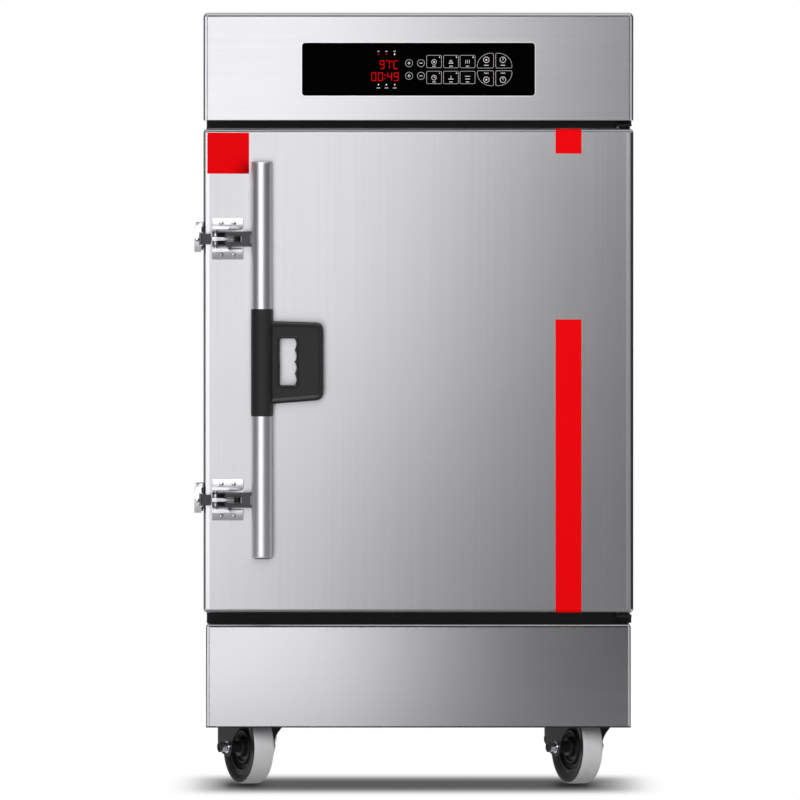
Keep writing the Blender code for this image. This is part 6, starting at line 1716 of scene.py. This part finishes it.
@dataclass
class Studio:
    """Pale floor, soft lights and the camera of the photograph.

    Most lamps are kept for one kind of finish, as the photograph's retouching treats each sheet
    and fitting by itself.
    """

    distance: float = 36.0
    sensor: float = 36.0
    frame_width: float = 1.3024
    eye_height: float = 1.258
    middle: Point = (-0.0225, -0.27335, 0.6276)
    floor_half: float = 2.2
    floor_cells: int = 220
    shadow_middle: Span = (0.0037, -0.227)
    shadow_reach: Span = (0.355, 0.39)
    shadow_depth: float = 0.893
    bounce: Span = (0.13, 0.55)
    front_reach: Span = (0.6, 0.27)
    wheel_shadow_x: Span = (-0.277, 0.260)
    wheel_shadow_y: float = -0.25
    wheel_shadow_reach: Span = (0.034, 0.17)
    wheel_shadow_depth: float = 0.85
    air: Colour = (0.030, 0.030, 0.033)

    def build(self) -> None:
        """Build the floor, the surroundings and the camera."""
        self._floor()
        self._surroundings()
        self._camera()
        bpy.context.scene.view_settings.view_transform = "Standard"
        bpy.context.scene.view_settings.look = "None"

    def light(self) -> None:
        """Sort all pieces by finish, and hang the lamps, each over its own kind."""
        groups = {lit: bpy.data.collections.new(f"lit_{lit.name.lower()}") for lit in Lit}
        for lit in (Lit.SATIN, Lit.HOOD, Lit.BASE):
            groups[Lit.SHEETS].children.link(groups[lit])
        kinds = {finish.name: lit for lit, finishes in LIT_FINISHES.items() for finish in finishes}
        for made in bpy.data.objects:
            if made.type == "MESH" and made.name != "floor" and made.data.materials:
                groups[kinds.get(made.data.materials[0].name, Lit.DARK)].objects.link(made)
        for lamp in LAMPS:
            made = self._light(lamp)
            if lamp.lit is not Lit.ALL:
                made.light_linking.receiver_collection = groups[lamp.lit]
            if not lamp.blocked:
                made.light_linking.blocker_collection = groups[lamp.lit]

    def _floor(self) -> None:
        """A wide pale floor with a soft shadow painted into it under the cabinet.

        The painted shade is 1 - d exp(-|x / a|^12 - |y / b|^4), measured from the shadow's middle, times
        the same form with a smaller reach under each front wheel. The painted glow, which is what the
        sheets mirror, is lower in front of the door than beside and behind the cabinet.
        """
        count = self.floor_cells + 1
        line = np.linspace(-self.floor_half, self.floor_half, count)
        x, y = np.meshgrid(line, line, indexing="ij")
        points = np.stack([x, y, np.zeros_like(x)], axis=-1).reshape(-1, 3)
        i, j = np.meshgrid(np.arange(count - 1), np.arange(count - 1), indexing="ij")
        corner = (i * count + j).reshape(-1)
        quads = np.stack([corner, corner + count, corner + count + 1, corner + 1], axis=1)
        mesh = bpy.data.meshes.new("floor")
        mesh.from_pydata(points.tolist(), [], quads.tolist())
        across, along = np.abs((points[:, :2] - self.shadow_middle) / self.shadow_reach).T
        shade = 1 - self.shadow_depth * np.exp(-(across**12) - along**4)
        for x in self.wheel_shadow_x:
            across, along = np.abs((points[:, :2] - (x, self.wheel_shadow_y)) / self.wheel_shadow_reach).T
            shade *= 1 - self.wheel_shadow_depth * np.exp(-(across**4) - along**2)
        across, along = (points[:, :2] / self.front_reach).T
        before = np.clip(-along, 0, 1) * np.exp(-(across**4))
        bounce = self.bounce[1] + (self.bounce[0] - self.bounce[1]) * before
        for name, values in (("shade", shade), ("bounce", bounce)):
            mesh.attributes.new(name, "FLOAT", "POINT").data.foreach_set("value", values)
        mesh.materials.append(self._paper())
        made = linked("floor", mesh)

    def _paper(self) -> bpy.types.Material:
        """White paper: matt with a painted glow for the light that it throws back, and evenly white to the eye but
        for its painted shade.
        """
        finish = Finish("studio_floor", (0.30, 0.30, 0.30), 0.0, 0.85, Grain.COARSE, shade=0.01, smudge=0.01)
        material = finish.material()
        tree = material.node_tree
        shade, bounce = (
            add_node(tree, "Attribute", "Fac", {}, attribute_name=name) for name in ("shade", "bounce")
        )
        paper = tree.nodes["Principled BSDF"]
        feed(tree, paper, {"Emission Color": (1.0, 1.0, 1.0, 1.0), "Emission Strength": bounce})
        bright = add_node(tree, "Emission", "Emission", {"Strength": shade})
        seen(tree, paper.outputs["BSDF"], bright, "Material Output")
        return material

    def _surroundings(self) -> None:
        """White behind the object for the eye, and a dim even grey for its reflections."""
        world = bpy.data.worlds.new("studio_air")
        bpy.context.scene.world = world
        world.use_nodes = True
        tree = world.node_tree
        air = tree.nodes["Background"]
        feed(tree, air, {"Color": (*self.air, 1.0)})
        white = add_node(tree, "Background", "Background", {"Color": (1.0, 1.0, 1.0, 1.0), "Strength": 1.0})
        seen(tree, air.outputs["Background"], white, "World Output")

    def _light(self, lamp: Lamp) -> bpy.types.Object:
        """A large soft lamp that looks from its place at its target."""
        data = bpy.data.lights.new(lamp.name, "AREA")
        data.shape = "RECTANGLE"
        data.size, data.size_y = lamp.size
        data.energy = lamp.power
        made = linked(lamp.name, data)
        made.location = lamp.place
        made.rotation_euler = (Vector(lamp.target) - Vector(lamp.place)).to_track_quat("-Z", "Y").to_euler()
        made.visible_camera = False
        return made

    def _camera(self) -> None:
        """A very long lens at the height of the hood, aimed at the middle of the photograph."""
        camera = bpy.data.cameras.new("camera")
        x, y, z = self.middle
        rise = self.eye_height - z
        camera.sensor_width = self.sensor
        camera.lens = camera.sensor_width * math.hypot(self.distance, rise) / self.frame_width
        camera.clip_end = 200.0
        made = linked("camera", camera)
        made.location = (x, y - self.distance, self.eye_height)
        made.rotation_euler = (math.pi / 2 - math.atan2(rise, self.distance), 0.0, 0.0)
        bpy.context.scene.camera = made


def main() -> None:
    logging.basicConfig(level=logging.INFO, format="%(message)s", stream=sys.stdout)
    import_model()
    studio = Studio()
    studio.build()
    Casing().build()
    Door().build()
    Handle().build()
    for where in ("upper", "lower"):
        Latch(where).build()
    for corner in ("front_left", "front_right", "rear_left", "rear_right"):
        Castor(corner).build()
    Controls().build()
    Chamber().build()
    RearFittings().build()
    studio.light()


if __name__ == "__main__":
    main()
